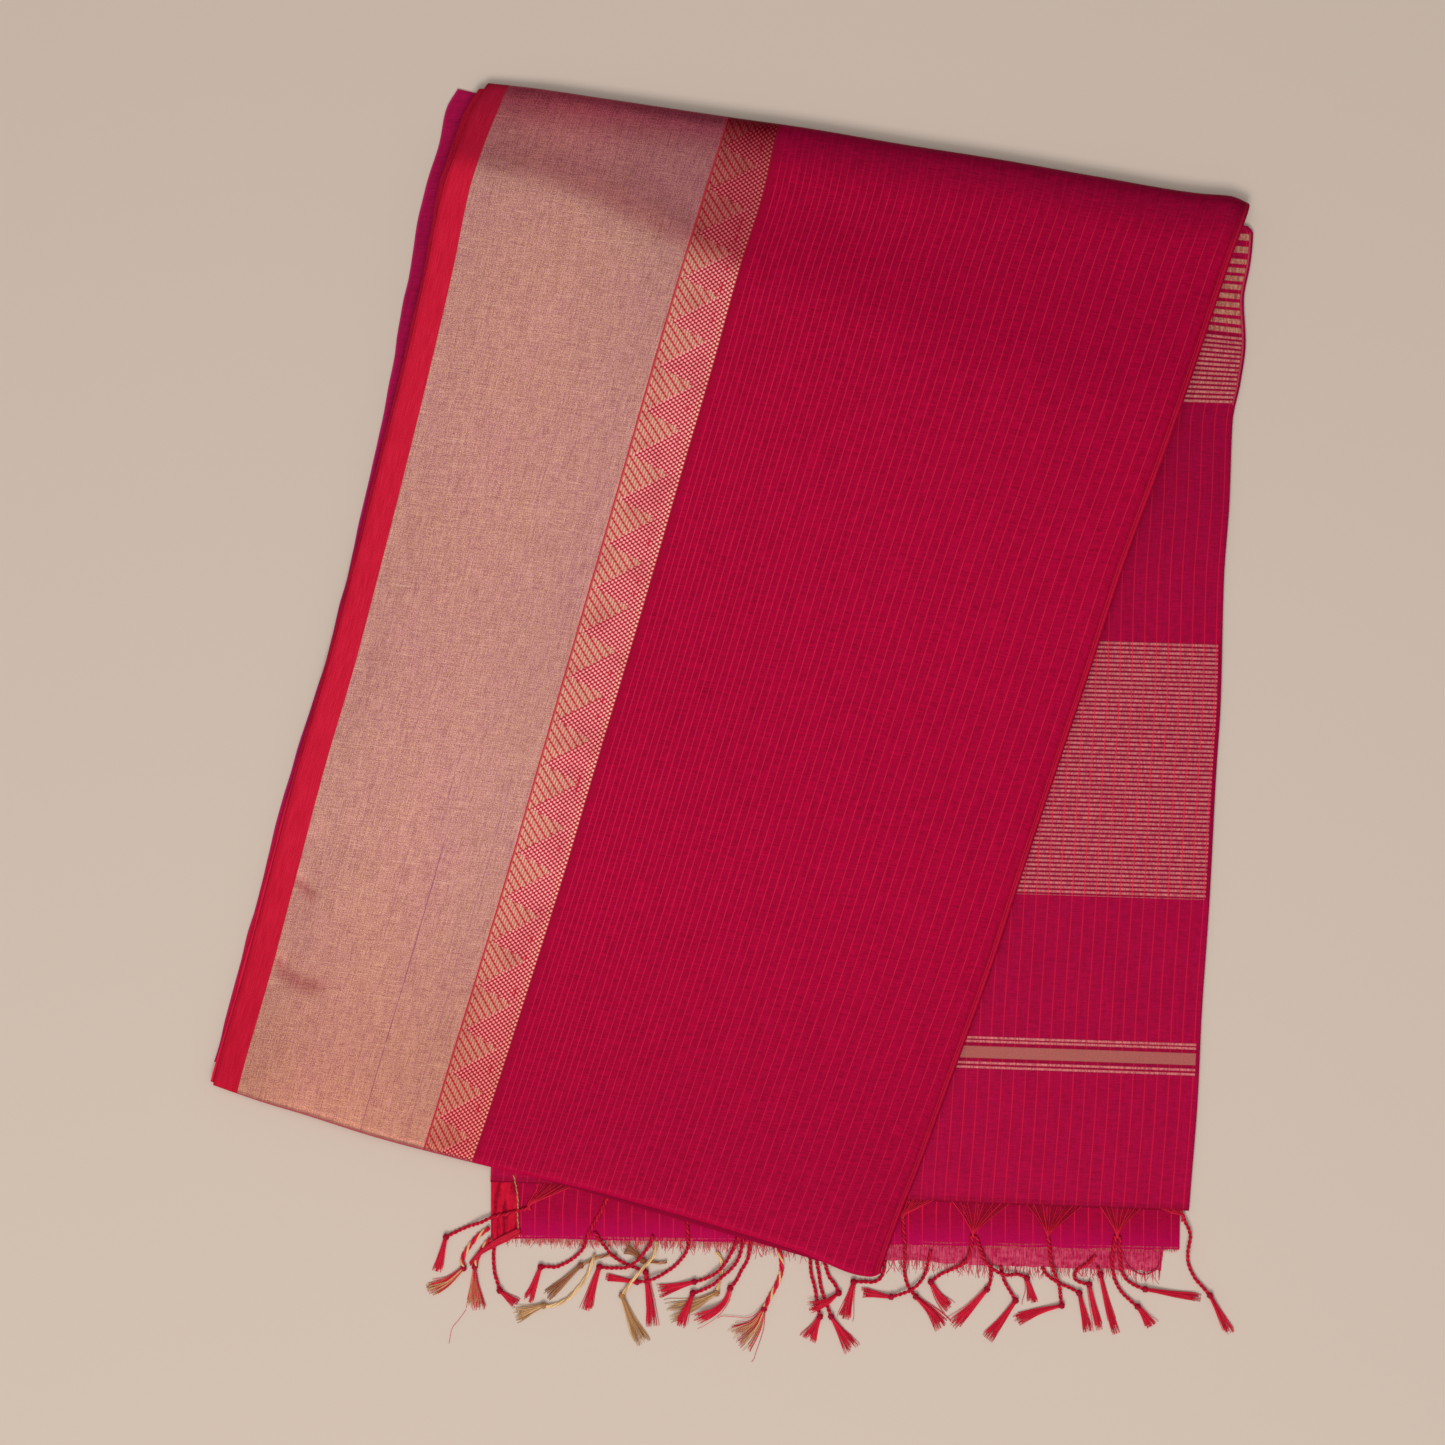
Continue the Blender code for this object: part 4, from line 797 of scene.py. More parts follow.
# The noises that mottle the weaves: for each its weight, its lumps per millimetre across and along, its
# detail, its roughness and its place in the noise.
GROUND_GRAIN = ((0.30, 0.95, 0.95, 3.0, 0.75, 0.0), (0.18, 0.22, 0.22, 3.0, 0.65, 2.0),
                (0.34, 0.07, 0.95, 3.0, 0.65, 3.1), (0.18, 0.95, 0.04, 2.0, 0.65, 5.3))
ZARI_GRAIN = ((0.38, 1.3, 1.3, 1.0, 0.9, 0.9), (0.20, 2.1, 2.1, 1.0, 0.6, 7.7),
              (0.21, 1.5, 0.06, 3.0, 0.65, 1.7), (0.21, 0.07, 1.5, 3.0, 0.65, 2.9))
ZARI_HUE = ((0.14, 0.02, 0.012, 2.0, 0.5, 6.1), (0.86, 1.15, 1.15, 1.0, 0.8, 8.3))
STRIP_GRAIN = ((0.5, 1.2, 1.2, 2.0, 0.6, 15.0), (0.5, 1.1, 0.05, 2.0, 0.6, 16.0))
BAR_GRAIN = ((0.5, 1.1, 1.1, 2.0, 0.7, 1.3), (0.5, 0.7, 0.15, 2.0, 0.6, 6.2))
# The crumpled strip's noise also paints shade into its folds as dark streaks.
CRUMPLE_FOLD_SHADE = ((0.7, 0.20, 0.035, 1.0, 0.5, 21.0), (0.3, 0.6, 0.25, 2.0, 0.6, 22.0))
PLAIN_GRAIN = ((0.5, 0.8, 0.8, 3.0, 0.6, 0.0), (0.5, 1.6, 0.06, 2.0, 0.6, 4.0))
SHEER_GRAIN = ((0.62, 1.1, 0.06, 3.0, 0.75, 31.0), (0.38, 0.16, 0.22, 3.0, 0.6, 32.0))

# Where the top panel's stretches lie across, in millimetres.
STRIP_END = STRIP_ACROSS * 1000
BORDER = (STRIP_END + 0.6, 187.0)
GUARD_LINE = 187.3
BAND = (187.6, 229.0)
GUARD_STRIPE = (229.0, 233.2)
BODY_START = 232.0
FOLD_SHADE = (571.0, 574.6)
FOLD_LINE = 575.6

# Dark warp streaks of the border: across, first and last distance from the far fold, in millimetres, and
# strength.
ZARI_STREAKS = (
    (130.3, 605, 900, 0.72), (124.0, 540, 606, 0.50), (169.2, 560, 900, 0.38), (104.0, 610, 700, 0.34),
    (62.0, 560, 640, 0.28), (128.0, 250, 420, 0.18), (40.0, 300, 470, 0.16), (170.0, 60, 400, 0.22),
    (176.0, 120, 460, 0.18),
)

# The shaded sides of the border's creases: the middle, the slope, the bend, half the length and half the
# width.
ZARI_CREASE_SHADES = ((41.0, 739.0, 0.43, 0.0135, 26.0, 6.0), (27.0, 663.0, 0.62, 0.0, 13.0, 5.0))

# The geometric band, in millimetres: its columns of threads, the repeat of its triangles and the slopes of
# their two sides, the diagonal rows of red dots, and the lattice of pale dots.
BAND_LEFT = 188.3
BAND_COLUMN = 2.13
BAND_REPEAT = 36.72
BAND_START = 318.0
TOP_SLOPE = 0.41
LOW_SLOPE = 0.83
LOW_START = 2.5
DOT_START = 320.4
DIAGONAL_PITCH = 7.34
DIAGONAL_SHIFT = 2.43
DOT_PITCH = 3.65

# The body's warp stripes: the first pitch, in millimetres, and how much each millimetre across adds to it.
FIRST_PITCH = 4.55
PITCH_GROWTH = 0.01335

# What the colours of the body, the strip, the border and the band are multiplied by, as painted shade:
# beyond the crest, further to the right there, at the far fold's rim and towards the front.
BEYOND_CREST_SHADE = ((1.0, 1.0, 1.0), (0.68, 0.68, 0.75), (1.0, 0.74, 0.83), (0.79, 0.46, 0.54))
RIGHT_CREST_SHADE = ((1.0, 1.0, 1.0), (1.0, 1.0, 1.0), (0.84, 0.87, 0.92), (0.89, 0.84, 0.90))
RIM_SHADE = ((0.60, 1.0, 0.80), (0.75, 0.90, 0.90), (0.62, 0.22, 0.40), (0.38, 0.06, 0.16))
FRONT_SHADE = ((0.84, 0.60, 0.88), (0.82, 0.56, 0.71), (0.80, 0.72, 0.61), (0.70, 0.52, 0.49))

# The pallu's weft bars, by the height of their middles in the photograph's pixels at the right edge, with
# half their thickness; for evenly spaced ones the middle of one bar, the pitch and both ends.
PALLU_COARSE = (
    (236.6, 3.2), (249.4, 3.2), (261.3, 2.4), (270.1, 2.4), (278.4, 2.5), (286.8, 2.5), (295.9, 2.5),
    (304.7, 2.5), (312.8, 2.5), (321.6, 2.5), (330.4, 2.5),
)
PALLU_NARROW = ((1045.9, 1.1), (1049.6, 1.1), (1071.2, 1.1), (1075.6, 1.1))
PALLU_BROAD = ((1060.4, 5.9),)
PALLU_THIN = (338.3, 4.5, 335.9, 403.0)
PALLU_DENSE = (646.0, 4.40, 643.8, 900.5)

# In the same pixels, both ends of the topmost group of bars, where the deeper ground below it fades, and
# stretches whose ground is darker.
PALLU_TOP = (232.0, 404.0)
PALLU_DEEPER = (480.0, 580.0)
PALLU_GROUNDS = (
    (334.0, 403.0, (0.72, 0.70, 0.75)), (643.8, 900.5, (0.72, 0.70, 0.75)),
    (1044.0, 1077.6, (0.76, 0.80, 0.78)),
)

# Where the layers under the panel change towards the front, in millimetres from the far fold.
TOWARDS_FRONT = (540.0, 640.0)


def weave_height(graph, pitch):
    """Threads over and under one another, as a height from 0 to 1."""
    turn = 2 * math.pi / pitch
    warp = (graph.across * turn).sin()
    weft = (graph.along * turn).sin()
    return (warp * weft) * 0.25 + 0.5


def ground_colour(graph, light, dark, seed=0.0):
    """The ground: fine mottling, faint weft streaks and slow clouds between two tones."""
    return graph.mottled(GROUND_GRAIN, 0.38, 0.62, dark, light, seed)


def zari_colour(graph):
    """The metallic border: gold and lilac threads, speckled, with dark warp streaks and pale weft slubs."""
    a = graph.across
    d = graph.along
    level = graph.grain(ZARI_GRAIN)
    hue = graph.step(graph.grain(ZARI_HUE), 0.38, 0.62)
    bright = graph.mix(hue, srgb(210, 150, 146), srgb(212, 162, 134))
    deep = graph.mix(hue, srgb(138, 76, 88), srgb(142, 88, 76))
    gold = graph.mix(graph.step(level, 0.40, 0.60), deep, bright)
    slub = graph.step(graph.noise(0.03, 0.9, 2.0, 0.5, 12.5), 0.64, 0.74)
    gold = graph.mix(slub * 0.35, gold, srgb(226, 184, 158))
    streaks = highest([graph.line(a - place, 0.45, 0.6) * graph.between(d, first, last, 40.0) * share
                       for place, first, last, share in ZARI_STREAKS])
    streaks = streaks * graph.step(graph.noise(0.2, 0.08, 2.0, 0.5, 9.9), 0.30, 0.50)
    gold = graph.tint(graph.step(a, 80.0, 185.0), gold, (0.91, 0.92, 0.94))
    # Painted shade along one side of each of the border's creases.
    for a0, d0, slope, bend, reach, half in ZARI_CREASE_SHADES:
        beside = a - a0
        across_it = (d - d0) - beside * slope + beside * beside * bend
        crease = graph.line(across_it, half, half * 2.0) * graph.between(a, a0 - reach, a0 + reach, reach)
        gold = graph.tint(crease, gold, (0.85, 0.64, 0.70))
    return graph.mix(streaks, gold, srgb(126, 52, 96)), level


def band_colour(graph):
    """The geometric band: a triangle of gold floats for each repeat, on red with a lattice of pink dots."""
    a = graph.across
    d = graph.along
    fine = graph.noise(1.3, 1.3, 2.0, 0.6, 3.3)
    column = ((a - BAND_LEFT) / BAND_COLUMN).floor()
    in_column = centred((a - BAND_LEFT) / BAND_COLUMN, BAND_COLUMN)
    along_repeat = ((d - BAND_START) / BAND_REPEAT).fract() * BAND_REPEAT
    stepped = column * BAND_COLUMN + 1.0
    top_side = along_repeat - stepped * TOP_SLOPE
    low_side = BAND_REPEAT + LOW_START - stepped * LOW_SLOPE - along_repeat
    in_triangle = (graph.step(top_side, -0.3, 0.3) * graph.step(low_side, -0.3, 0.3)).either(
        graph.step(low_side - BAND_REPEAT, -0.3, 0.3))

    # Tan floats, cut by diagonal rows of red dots, one for each column.
    diagonal = centred((d - DOT_START - column * DIAGONAL_SHIFT) / DIAGONAL_PITCH + 0.5, DIAGONAL_PITCH)
    red_line = graph.line(diagonal - in_column * 0.9, 1.05, 0.8)
    float_shade = graph.line(in_column, 0.52, 0.5) * 0.66 + graph.step(fine, 0.35, 0.65) * 0.34
    cream = graph.mix(float_shade, srgb(166, 92, 80), srgb(226, 178, 150))
    red_dot = red_line * (graph.line(in_column, 0.66, 0.5) * 0.7 + 0.3)
    gold_zone = graph.mix(red_dot, cream, srgb(188, 20, 50))

    # Pale dots that alternate from column to column.
    dot_along = centred((d - DOT_START - column * (DOT_PITCH / 2)) / DOT_PITCH + 0.5, DOT_PITCH)
    dot = graph.line(dot_along, 0.88, 0.7) * graph.line(in_column, 0.76, 0.6)
    dot_tone = graph.mix(graph.step(a, 221.5, 227.5), srgb(248, 176, 168), srgb(246, 196, 168))
    red_zone = graph.mix(dot * 0.95, graph.mix(fine, srgb(148, 18, 44), srgb(188, 48, 64)), dot_tone)

    band = graph.mix(in_triangle, red_zone, gold_zone)
    slub = graph.line(a - 219.8, 0.8, 0.5) * graph.step(graph.noise(0.01, 0.11, 1.0, 0.5, 3.7), 0.60, 0.64)
    band = graph.mix(slub * 0.85, band, srgb(186, 18, 48))
    worn = graph.fall(graph.noise(0.035, 0.03, 2.0, 0.6, 4.1), 0.30, 0.55)
    band = graph.tint(worn * 0.6, band, (0.80, 0.62, 0.68))
    return graph.tint(1.0, band, (0.94, 0.86, 0.90))


def panel_material():
    """The top panel, from the selvedge inwards: red strip, metallic border, geometric band, striped body."""
    graph = Graph("top_panel_weave", roughness=0.5, sheen=0.08)
    a = graph.across
    d = graph.along
    beyond_crest, from_front = graph.read_map("place")

    # The magenta ground, with red warp stripes that stand further apart towards the lengthwise fold.
    ground = ground_colour(graph, BODY_LIGHT, BODY_DARK)
    phase = ((a - BODY_START) * (PITCH_GROWTH / FIRST_PITCH) + 1.0).log() * (1.0 / PITCH_GROWTH)
    pitch = (a - BODY_START) * PITCH_GROWTH + FIRST_PITCH
    stripe = graph.line(centred(phase + 0.5, pitch), 0.32, 0.44)
    stripe = stripe * (graph.noise(0.5, 0.06, 2.0, 0.5, 5.0) * 0.9 + 0.25)
    colour = graph.mix(stripe * (graph.step(d, 10.0, 56.0) * 0.8 + 0.2), ground, WARP_RED)
    # Painted shade just inside the lengthwise fold.
    colour = graph.tint(graph.between(a, *FOLD_SHADE, 1.6) * 0.7, colour, (0.80, 0.70, 0.62))
    colour = graph.mix(graph.line(a - FOLD_LINE, 0.75, 0.7) * 0.5, colour, srgb(190, 28, 46))

    gold, level = zari_colour(graph)
    in_gold = graph.between(a, *BORDER, 0.5)
    colour = graph.mix(in_gold, colour, gold)
    in_band = graph.between(a, *BAND, 0.4)
    colour = graph.mix(in_band, colour, band_colour(graph))
    colour = graph.mix(graph.between(a, *GUARD_STRIPE, 0.6) * 0.8, colour, srgb(150, 4, 44))
    colour = graph.mix(graph.line(a - GUARD_LINE, 0.6, 0.4), colour, srgb(186, 46, 62))

    # The red strip along the selvedge, with painted shade along its outer edge where the cloth curves down.
    strip = graph.mottled(STRIP_GRAIN, 0.40, 0.62, srgb(190, 19, 47), srgb(212, 32, 62))
    strip = graph.tint(graph.fall(a, 0.8, 4.4) * 0.7, strip, (0.78, 0.62, 0.74))
    in_strip = graph.fall(a, STRIP_END + 0.2, STRIP_END + 0.8)
    colour = graph.mix(in_strip, colour, strip)

    # Painted shade beyond the crest, further to the right there, at the far rim and towards the front. The
    # front fold's edge has a thin pinkish-red line over the border and band, and a painted highlight of
    # brighter magenta over the body.
    shades = (
        (graph.step(beyond_crest, -12.0, 12.0), BEYOND_CREST_SHADE),
        (graph.step(beyond_crest, 4.0, 34.0) * graph.step(a, 60.0, 150.0), RIGHT_CREST_SHADE),
        (graph.fall(d, -2.0, 48.0), RIM_SHADE),
        (graph.step(d, 560.0, 900.0), FRONT_SHADE),
    )
    for share, tints in shades:
        factors = tints[0]
        for zone, factor in zip((in_strip, in_gold, in_band), tints[1:]):
            factors = graph.mix(zone, factors, factor)
        colour = graph.tint(share, colour, factors)
    in_body = graph.step(a, BAND[1], BAND[1] + 1.0)
    edge = graph.fall(from_front, 0.6, 2.4) * (1.0 - in_strip) * (1.0 - in_body)
    colour = graph.mix(edge * 0.75, colour, srgb(178, 64, 84))
    # Painted highlight: brighter magenta along the body's front fold edge.
    colour = graph.mix(graph.fall(from_front, 0.0, 6.0) * in_body * 0.6, colour, srgb(200, 4, 66))

    height = weave_height(graph, 0.55) * 0.4 + level * 0.6
    metal = (in_gold * 0.62).either(in_band * 0.50).either(in_body * SILK_METAL)
    metal = metal * graph.step(from_front, -2.0, 7.0)
    return graph.finish(colour, height, distance=0.00022, Metallic=metal, Roughness=0.56 - metal * 0.22)


def warp_stripes(graph, pitch, half, soft):
    """Lengthwise stripes at a pitch given in metres, with half their thickness in millimetres."""
    return graph.line(centred(graph.across / (pitch * 1000), pitch * 1000), half, soft)


def ply_material(name, light, dark, stripe_colour, stripe_pitch, seed):
    """A plain stretch with red warp stripes."""
    graph = Graph(name, roughness=0.5, sheen=0.06, metallic=SILK_METAL)
    colour = ground_colour(graph, light, dark, seed)
    stripe = warp_stripes(graph, stripe_pitch, 0.42, 0.5)
    stripe = stripe * (graph.noise(0.5, 0.05, 2.0, 0.5, seed + 9.0) * 0.6 + 0.45)
    return graph, graph.mix(stripe, colour, stripe_colour)


def pallu_material():
    """The pallu: groups of weft bars in gold and pink, and at the woven end a dark line of painted shade
    where the cloth steps down.
    """
    graph, colour = ply_material("striped_pallu_weave", srgb(170, 7, 61), srgb(139, 5, 48),
                                 srgb(196, 22, 56), PALLU_STRIPES, 2.0)
    a = graph.across
    _, from_end = graph.read_map("place")
    height_px = graph.along * (MM / PIXEL) + (ORIGIN_Y - PALLU_RIGHT[0][1] / PIXEL)
    mottle = graph.step(graph.grain(BAR_GRAIN), 0.38, 0.62)
    gold = graph.mix(mottle, srgb(150, 84, 72), srgb(198, 140, 114))
    gap = graph.step(graph.noise(0.55, 0.02, 2.0, 0.6, 14.0), 0.54, 0.66)
    gold = graph.mix(gap * 0.55, gold, srgb(140, 50, 56))
    pink = graph.mix(mottle, srgb(168, 74, 82), srgb(214, 130, 126))
    brown = graph.mix(graph.noise(1.1, 1.1, 2.0, 0.7, 1.3), srgb(138, 76, 68), srgb(180, 104, 96))

    def bars(rows, soft):
        return highest([graph.line(height_px - middle, half, soft) for middle, half in rows])

    def even_bars(middle, pitch, start, end):
        beside = centred((height_px - middle) / pitch + 0.5, pitch)
        return graph.line(beside, 1.15, 1.0) * graph.between(height_px, start, end, 0.8)

    coarse = bars(PALLU_COARSE, 1.1)
    narrow = bars(PALLU_NARROW, 0.9)
    broad = bars(PALLU_BROAD, 0.9)
    thin = even_bars(*PALLU_THIN)
    dense = even_bars(*PALLU_DENSE)
    for start, end, factors in PALLU_GROUNDS:
        colour = graph.tint(graph.between(height_px, start, end, 0.8) * 0.8, colour, factors)
    inside = graph.step(a, 3.0, 3.6)
    for bar, share, tone in ((coarse, 0.94, gold), (thin, 0.92, graph.mix(0.72, gold, pink)),
                             (dense, 0.80, pink), (narrow, 0.84, pink), (broad, 0.9, brown)):
        colour = graph.mix(bar * inside * share, colour, tone)

    # The stretch between the bars is deeper at its top, the warp shows red through the dense bars, and the
    # selvedge has a thin line of its own.
    below = graph.step(height_px, PALLU_TOP[1], PALLU_TOP[1] + 1.0) * graph.fall(height_px, *PALLU_DEEPER)
    colour = graph.tint(below, colour, (0.91, 0.90, 0.92))
    warp_line = warp_stripes(graph, PALLU_STRIPES, 0.42, 0.5)
    through = warp_line * graph.between(height_px, *PALLU_DENSE[2:], 0.8) * 0.7
    colour = graph.mix(through, colour, srgb(206, 36, 62))
    banded = graph.between(height_px, *PALLU_TOP, 2.0)
    colour = graph.mix(graph.line(a - 2.4, 0.5, 0.6) * banded * 0.5, colour, srgb(196, 90, 96))
    colour = graph.mix(graph.fall(a, 0.8, 1.6) * 0.6, colour, srgb(124, 8, 54))

    # The woven end: a dark line of painted shade where the cloth's edge steps down onto the ply below, then
    # the threads' turn.
    colour = graph.tint(graph.fall(from_end, 4.4, 5.2) * 0.7, colour, (0.78, 0.9, 0.72))
    colour = graph.mix(graph.fall(from_end, 0.7, 1.7) * 0.8, colour, srgb(112, 2, 30))
    height = weave_height(graph, 0.6) * 0.5 + coarse.either(thin) * 0.5 + dense * 0.3
    metal = (coarse.either(thin) * 0.5).either(dense.either(narrow).either(broad) * 0.42).either(SILK_METAL)
    return graph.finish(colour, height, 0.35, Metallic=metal)


def plain_upper_material():
    """The plain end: magenta, with a crumpled red selvedge strip at its left whose folds carry painted
    shade, and painted light beside the front fold where the fold's shadow falls.
    """
    graph, colour = ply_material("plain_magenta_weave", srgb(160, 3, 52), srgb(134, 2, 44),
                                 srgb(204, 24, 60), UPPER_STRIPES, 5.0)
    from_left, from_end = graph.read_map("place")
    colour = graph.mix(graph.fall(from_end, 0.0, 26.0) * 0.55, colour, srgb(176, 5, 80))
    # The strip's dark streaks are painted shade in its crumpled folds.
    strip = graph.mottled(CRUMPLE_FOLD_SHADE, 0.34, 0.58, srgb(128, 4, 30), srgb(188, 16, 46))
    in_strip = graph.fall(from_left, SELVEDGE_STRIP * 1000 - 0.3, SELVEDGE_STRIP * 1000 + 0.3)
    colour = graph.mix(in_strip, colour, strip)
    # Painted light: the cloth is lightened beside the front fold, where the fold's shadow falls.
    beside_fold, _ = graph.read_map("fold")
    colour = graph.tint(graph.fall(beside_fold, 0.5, 6.0), colour, (1.40, 1.2, 1.30))
    return graph.finish(colour, weave_height(graph, 0.6))


def sheer_edge_material():
    """The lowest layer: purplish with a paler rim, and crimson with a thin purple rim towards the front."""
    graph = Graph("sheer_magenta_weave", roughness=0.55, sheen=0.06, metallic=0.15)
    colour = ground_colour(graph, srgb(172, 16, 74), srgb(138, 10, 56), 8.0)
    colour = graph.mix(graph.fall(graph.across, 0.0, 2.6) * 0.45, colour, srgb(184, 44, 106))
    crimson = ground_colour(graph, srgb(204, 24, 60), srgb(176, 16, 48), 8.0)
    to_front = graph.step(graph.along, *TOWARDS_FRONT)
    colour = graph.mix(to_front * graph.step(graph.across, 0.5, 1.3), colour, crimson)
    return graph.finish(colour, weave_height(graph, 0.7))


def sheer_lower_material():
    """The sheer end: patches where the pale floor shows through, behind threads that run to the cut edge."""
    graph = Graph("sheer_lower_weave", roughness=0.6, sheen=0.06)
    _, from_end = graph.read_map("place")
    veil = graph.mottled(SHEER_GRAIN, 0.40, 0.60, srgb(164, 10, 60), srgb(210, 84, 110))
    colour = graph.mix(graph.fall(from_end, 3.0, 26.0) * 0.5 + 0.4, srgb(164, 12, 70), veil)
    colour = graph.mix(warp_stripes(graph, LOWER_STRIPES, 0.45, 0.6) * 0.8, colour, srgb(192, 24, 72))
    return graph.finish(colour, weave_height(graph, 0.7))


def plain_material(name, dark, light, rim=None):
    """Mottled cloth. A rim colour, where given, paints light on the rim towards the front, where it stands
    out from the panel.
    """
    graph = Graph(name, roughness=0.55, sheen=0.08, metallic=0.2)
    colour = graph.mottled(PLAIN_GRAIN, 0.38, 0.62, dark, light)
    if rim is not None:
        # Painted light on the rim towards the front.
        lit_rim_share = graph.fall(graph.across, 4.4, 5.2) * graph.step(graph.along, *TOWARDS_FRONT)
        colour = graph.mix(lit_rim_share, colour, rim)
    return graph.finish(colour, weave_height(graph, 0.55))


def thread_material(name, dark=THREAD_DARK, light=THREAD_LIGHT, second=None):
    """Glossy thread whose shade is kept in the map's u; a second pair of colours takes the upper half."""
    graph = Graph(name, roughness=0.45, sheen=0.06, specular=0.10)
    shade = graph.across * 0.001
    if second is None:
        colour = graph.mix(shade, dark, light)
    else:
        lower = graph.mix(shade * 2.0, dark, light)
        upper = graph.mix(shade * 2.0 - 1.0, *second)
        colour = graph.mix(shade.above(0.5), lower, upper)
    grain = graph.solid_noise(1400.0)
    colour = graph.mix(graph.step(grain, 0.35, 0.7) * 0.35, colour, dark)
    return graph.finish(colour, grain, 0.4, 0.0002)


# The pile.

def pile_grid(across, depth, far_angles, shares, front_angles):
    """The pile's outer surface, or `depth` under it: column by column across, row by row from far to front.

    The first and last rows go round the folded ends, by the angle from the top, and past half a turn they go
    on under the pile. With the points comes how far along its thread each point lies.
    """
    across = np.asarray(across, dtype=float)[:, None]
    depth = np.broadcast_to(np.asarray(depth, dtype=float), across.shape[:1])[:, None]
    run = thread_ends(across)[2]
    parts = []
    for end, nose, degrees in (("far", FAR_NOSE, far_angles), ("middle", 0.0, shares),
                               ("front", FRONT_NOSE, front_angles)):
        values = np.asarray(degrees, dtype=float)[None, :]
        if end == "middle":
            along = FAR_NOSE + values * (run - FAR_NOSE - FRONT_NOSE)
            x, y = plan(across + 0 * along, along)
            parts.append((x, y, pile_top(across + 0 * along, along) - depth, along))
            continue
        angle = np.radians(np.minimum(values, 180))
        beyond = np.maximum(0.0, values / 180 - 1.0)
        inset = nose - (nose - depth) * np.sin(angle) + TUCK * beyond
        shoulder = nose + 0 * run if end == "far" else run - nose
        top = pile_top(across, shoulder)
        half = (top - pile_base(*plan(across, shoulder))) / 2
        z = top - half + (half - depth) * np.cos(angle)
        place = inset if end == "far" else run - inset
        x, y = plan(across + 0 * place, place)
        round_it = angle * (nose + half) / 2 + TUCK * beyond
        parts.append((x, y, z, nose - round_it if end == "far" else run - nose + round_it))
    x, y, z, along = (np.concatenate([part[i] for part in parts], axis=1) for i in range(4))
    return np.stack((x, y, z), axis=2), along


# Creases of the top panel: start and end as (across, from the far fold), half width and depth, in
# millimetres.
CREASES = (
    ((22, 724), (58, 742), 7.5, 1.20), ((21, 657), (40, 667), 6.5, 0.80), ((24, 616), (60, 636), 7.0, 0.90),
    ((198, 536), (228, 542), 7.0, 0.80), ((30, 40), (120, 52), 14.0, 0.5), ((150, 66), (210, 96), 10.0, 0.5),
    ((240, 60), (420, 96), 22.0, 0.5), ((250, 470), (420, 520), 16.0, 0.20),
    ((300, 640), (520, 600), 18.0, 0.20),
)


def crease_depth(across, from_far):
    """How deep the listed creases lie below the smooth surface."""
    depth = 0.0
    for start, end, half, deep in CREASES:
        start = np.array(start) * MM
        way = np.array(end) * MM - start
        share = ((across - start[0]) * way[0] + (from_far - start[1]) * way[1]) / (way @ way)
        share = np.clip(share, 0.0, 1.0)
        distance = np.hypot(across - start[0] - share * way[0], from_far - start[1] - share * way[1])
        fade = smooth(1.4 - abs(share - 0.5) * 2)
        depth = depth + deep * MM * np.exp(-(distance / (half * MM)) ** 2) * fade
    return depth


# The panel's small waves: what squeezes them lengthwise, their length, height and seed.
WAVES = ((0.45, 0.070, 0.00035, 11), (0.6, 0.024, 0.00012, 12))


def relief(across, from_far, run):
    """Small waves of the cloth's surface, in metres, calm at the edges."""
    calm = smooth(from_far / 0.02) * smooth((run - from_far) / 0.02) * smooth(across / 0.01)
    calm = calm * smooth((HALF_WIDTH - 0.004 - across) / 0.01)
    waves = sum(height * value_noise(across, from_far * squeeze, length, seed)
                for squeeze, length, height, seed in WAVES)
    return (waves - crease_depth(across, from_far)) * calm


def top_cloth(material):
    """The top panel: over both folded ends, and round the lengthwise fold at the right."""
    flat_end = HALF_WIDTH - FOLD_REACH
    columns = stretches(((0.0, STRIP_ACROSS, 7), (STRIP_ACROSS, 0.560, 128), (0.560, flat_end, 7)))
    section = [(across, 0.0, across, CLOTH, across) for across in columns]
    middle = FOLD_DEPTH / 2
    turn = 0.0
    for degrees in range(20, 181, 20):
        angle = math.radians(degrees)
        turn = angle * (FOLD_REACH + middle) / 2
        section.append((flat_end + FOLD_REACH * math.sin(angle), middle - middle * math.cos(angle),
                        flat_end + (FOLD_REACH - CLOTH) * math.sin(angle),
                        middle - (middle - CLOTH) * math.cos(angle), flat_end + turn))
    for k in (1, 2):
        back = flat_end - FOLD_RETURN * k / 2
        section.append((back, FOLD_DEPTH, back, FOLD_DEPTH - CLOTH, flat_end + turn + FOLD_RETURN * k / 2))
    section = np.array(section)
    far_angles = (360, 270, 180, 160, 140, 120, 100, 80, 60, 40, 20)
    front_angles = (22, 45, 67, 90, 112, 135, 157, 180, 270, 360)
    shares = np.linspace(0, 1, 210)
    outer, along = pile_grid(section[:, 0], section[:, 1], far_angles, shares, front_angles)
    inner, _ = pile_grid(section[:, 2], section[:, 3], far_angles, shares, front_angles)
    run = thread_ends(section[:, 0])[2][:, None]
    lift = relief(section[:, 0][:, None], along, run) * (section[:, 1] == 0.0)[:, None]
    lift[:, :len(far_angles)] = 0.0
    lift[:, -len(front_angles):] = 0.0
    outer[:, :, 2] += lift
    inner[:, :, 2] += lift
    weave = np.stack((np.broadcast_to(section[:, 4][:, None], along.shape), along), axis=2)
    place = np.stack((CREST_CURVE(section[:, 0])[:, None] - along, run - along), axis=2)
    return cloth("top_cloth", outer, weave, material, ["top_panel"], inner=inner,
                 maps={"place": place})


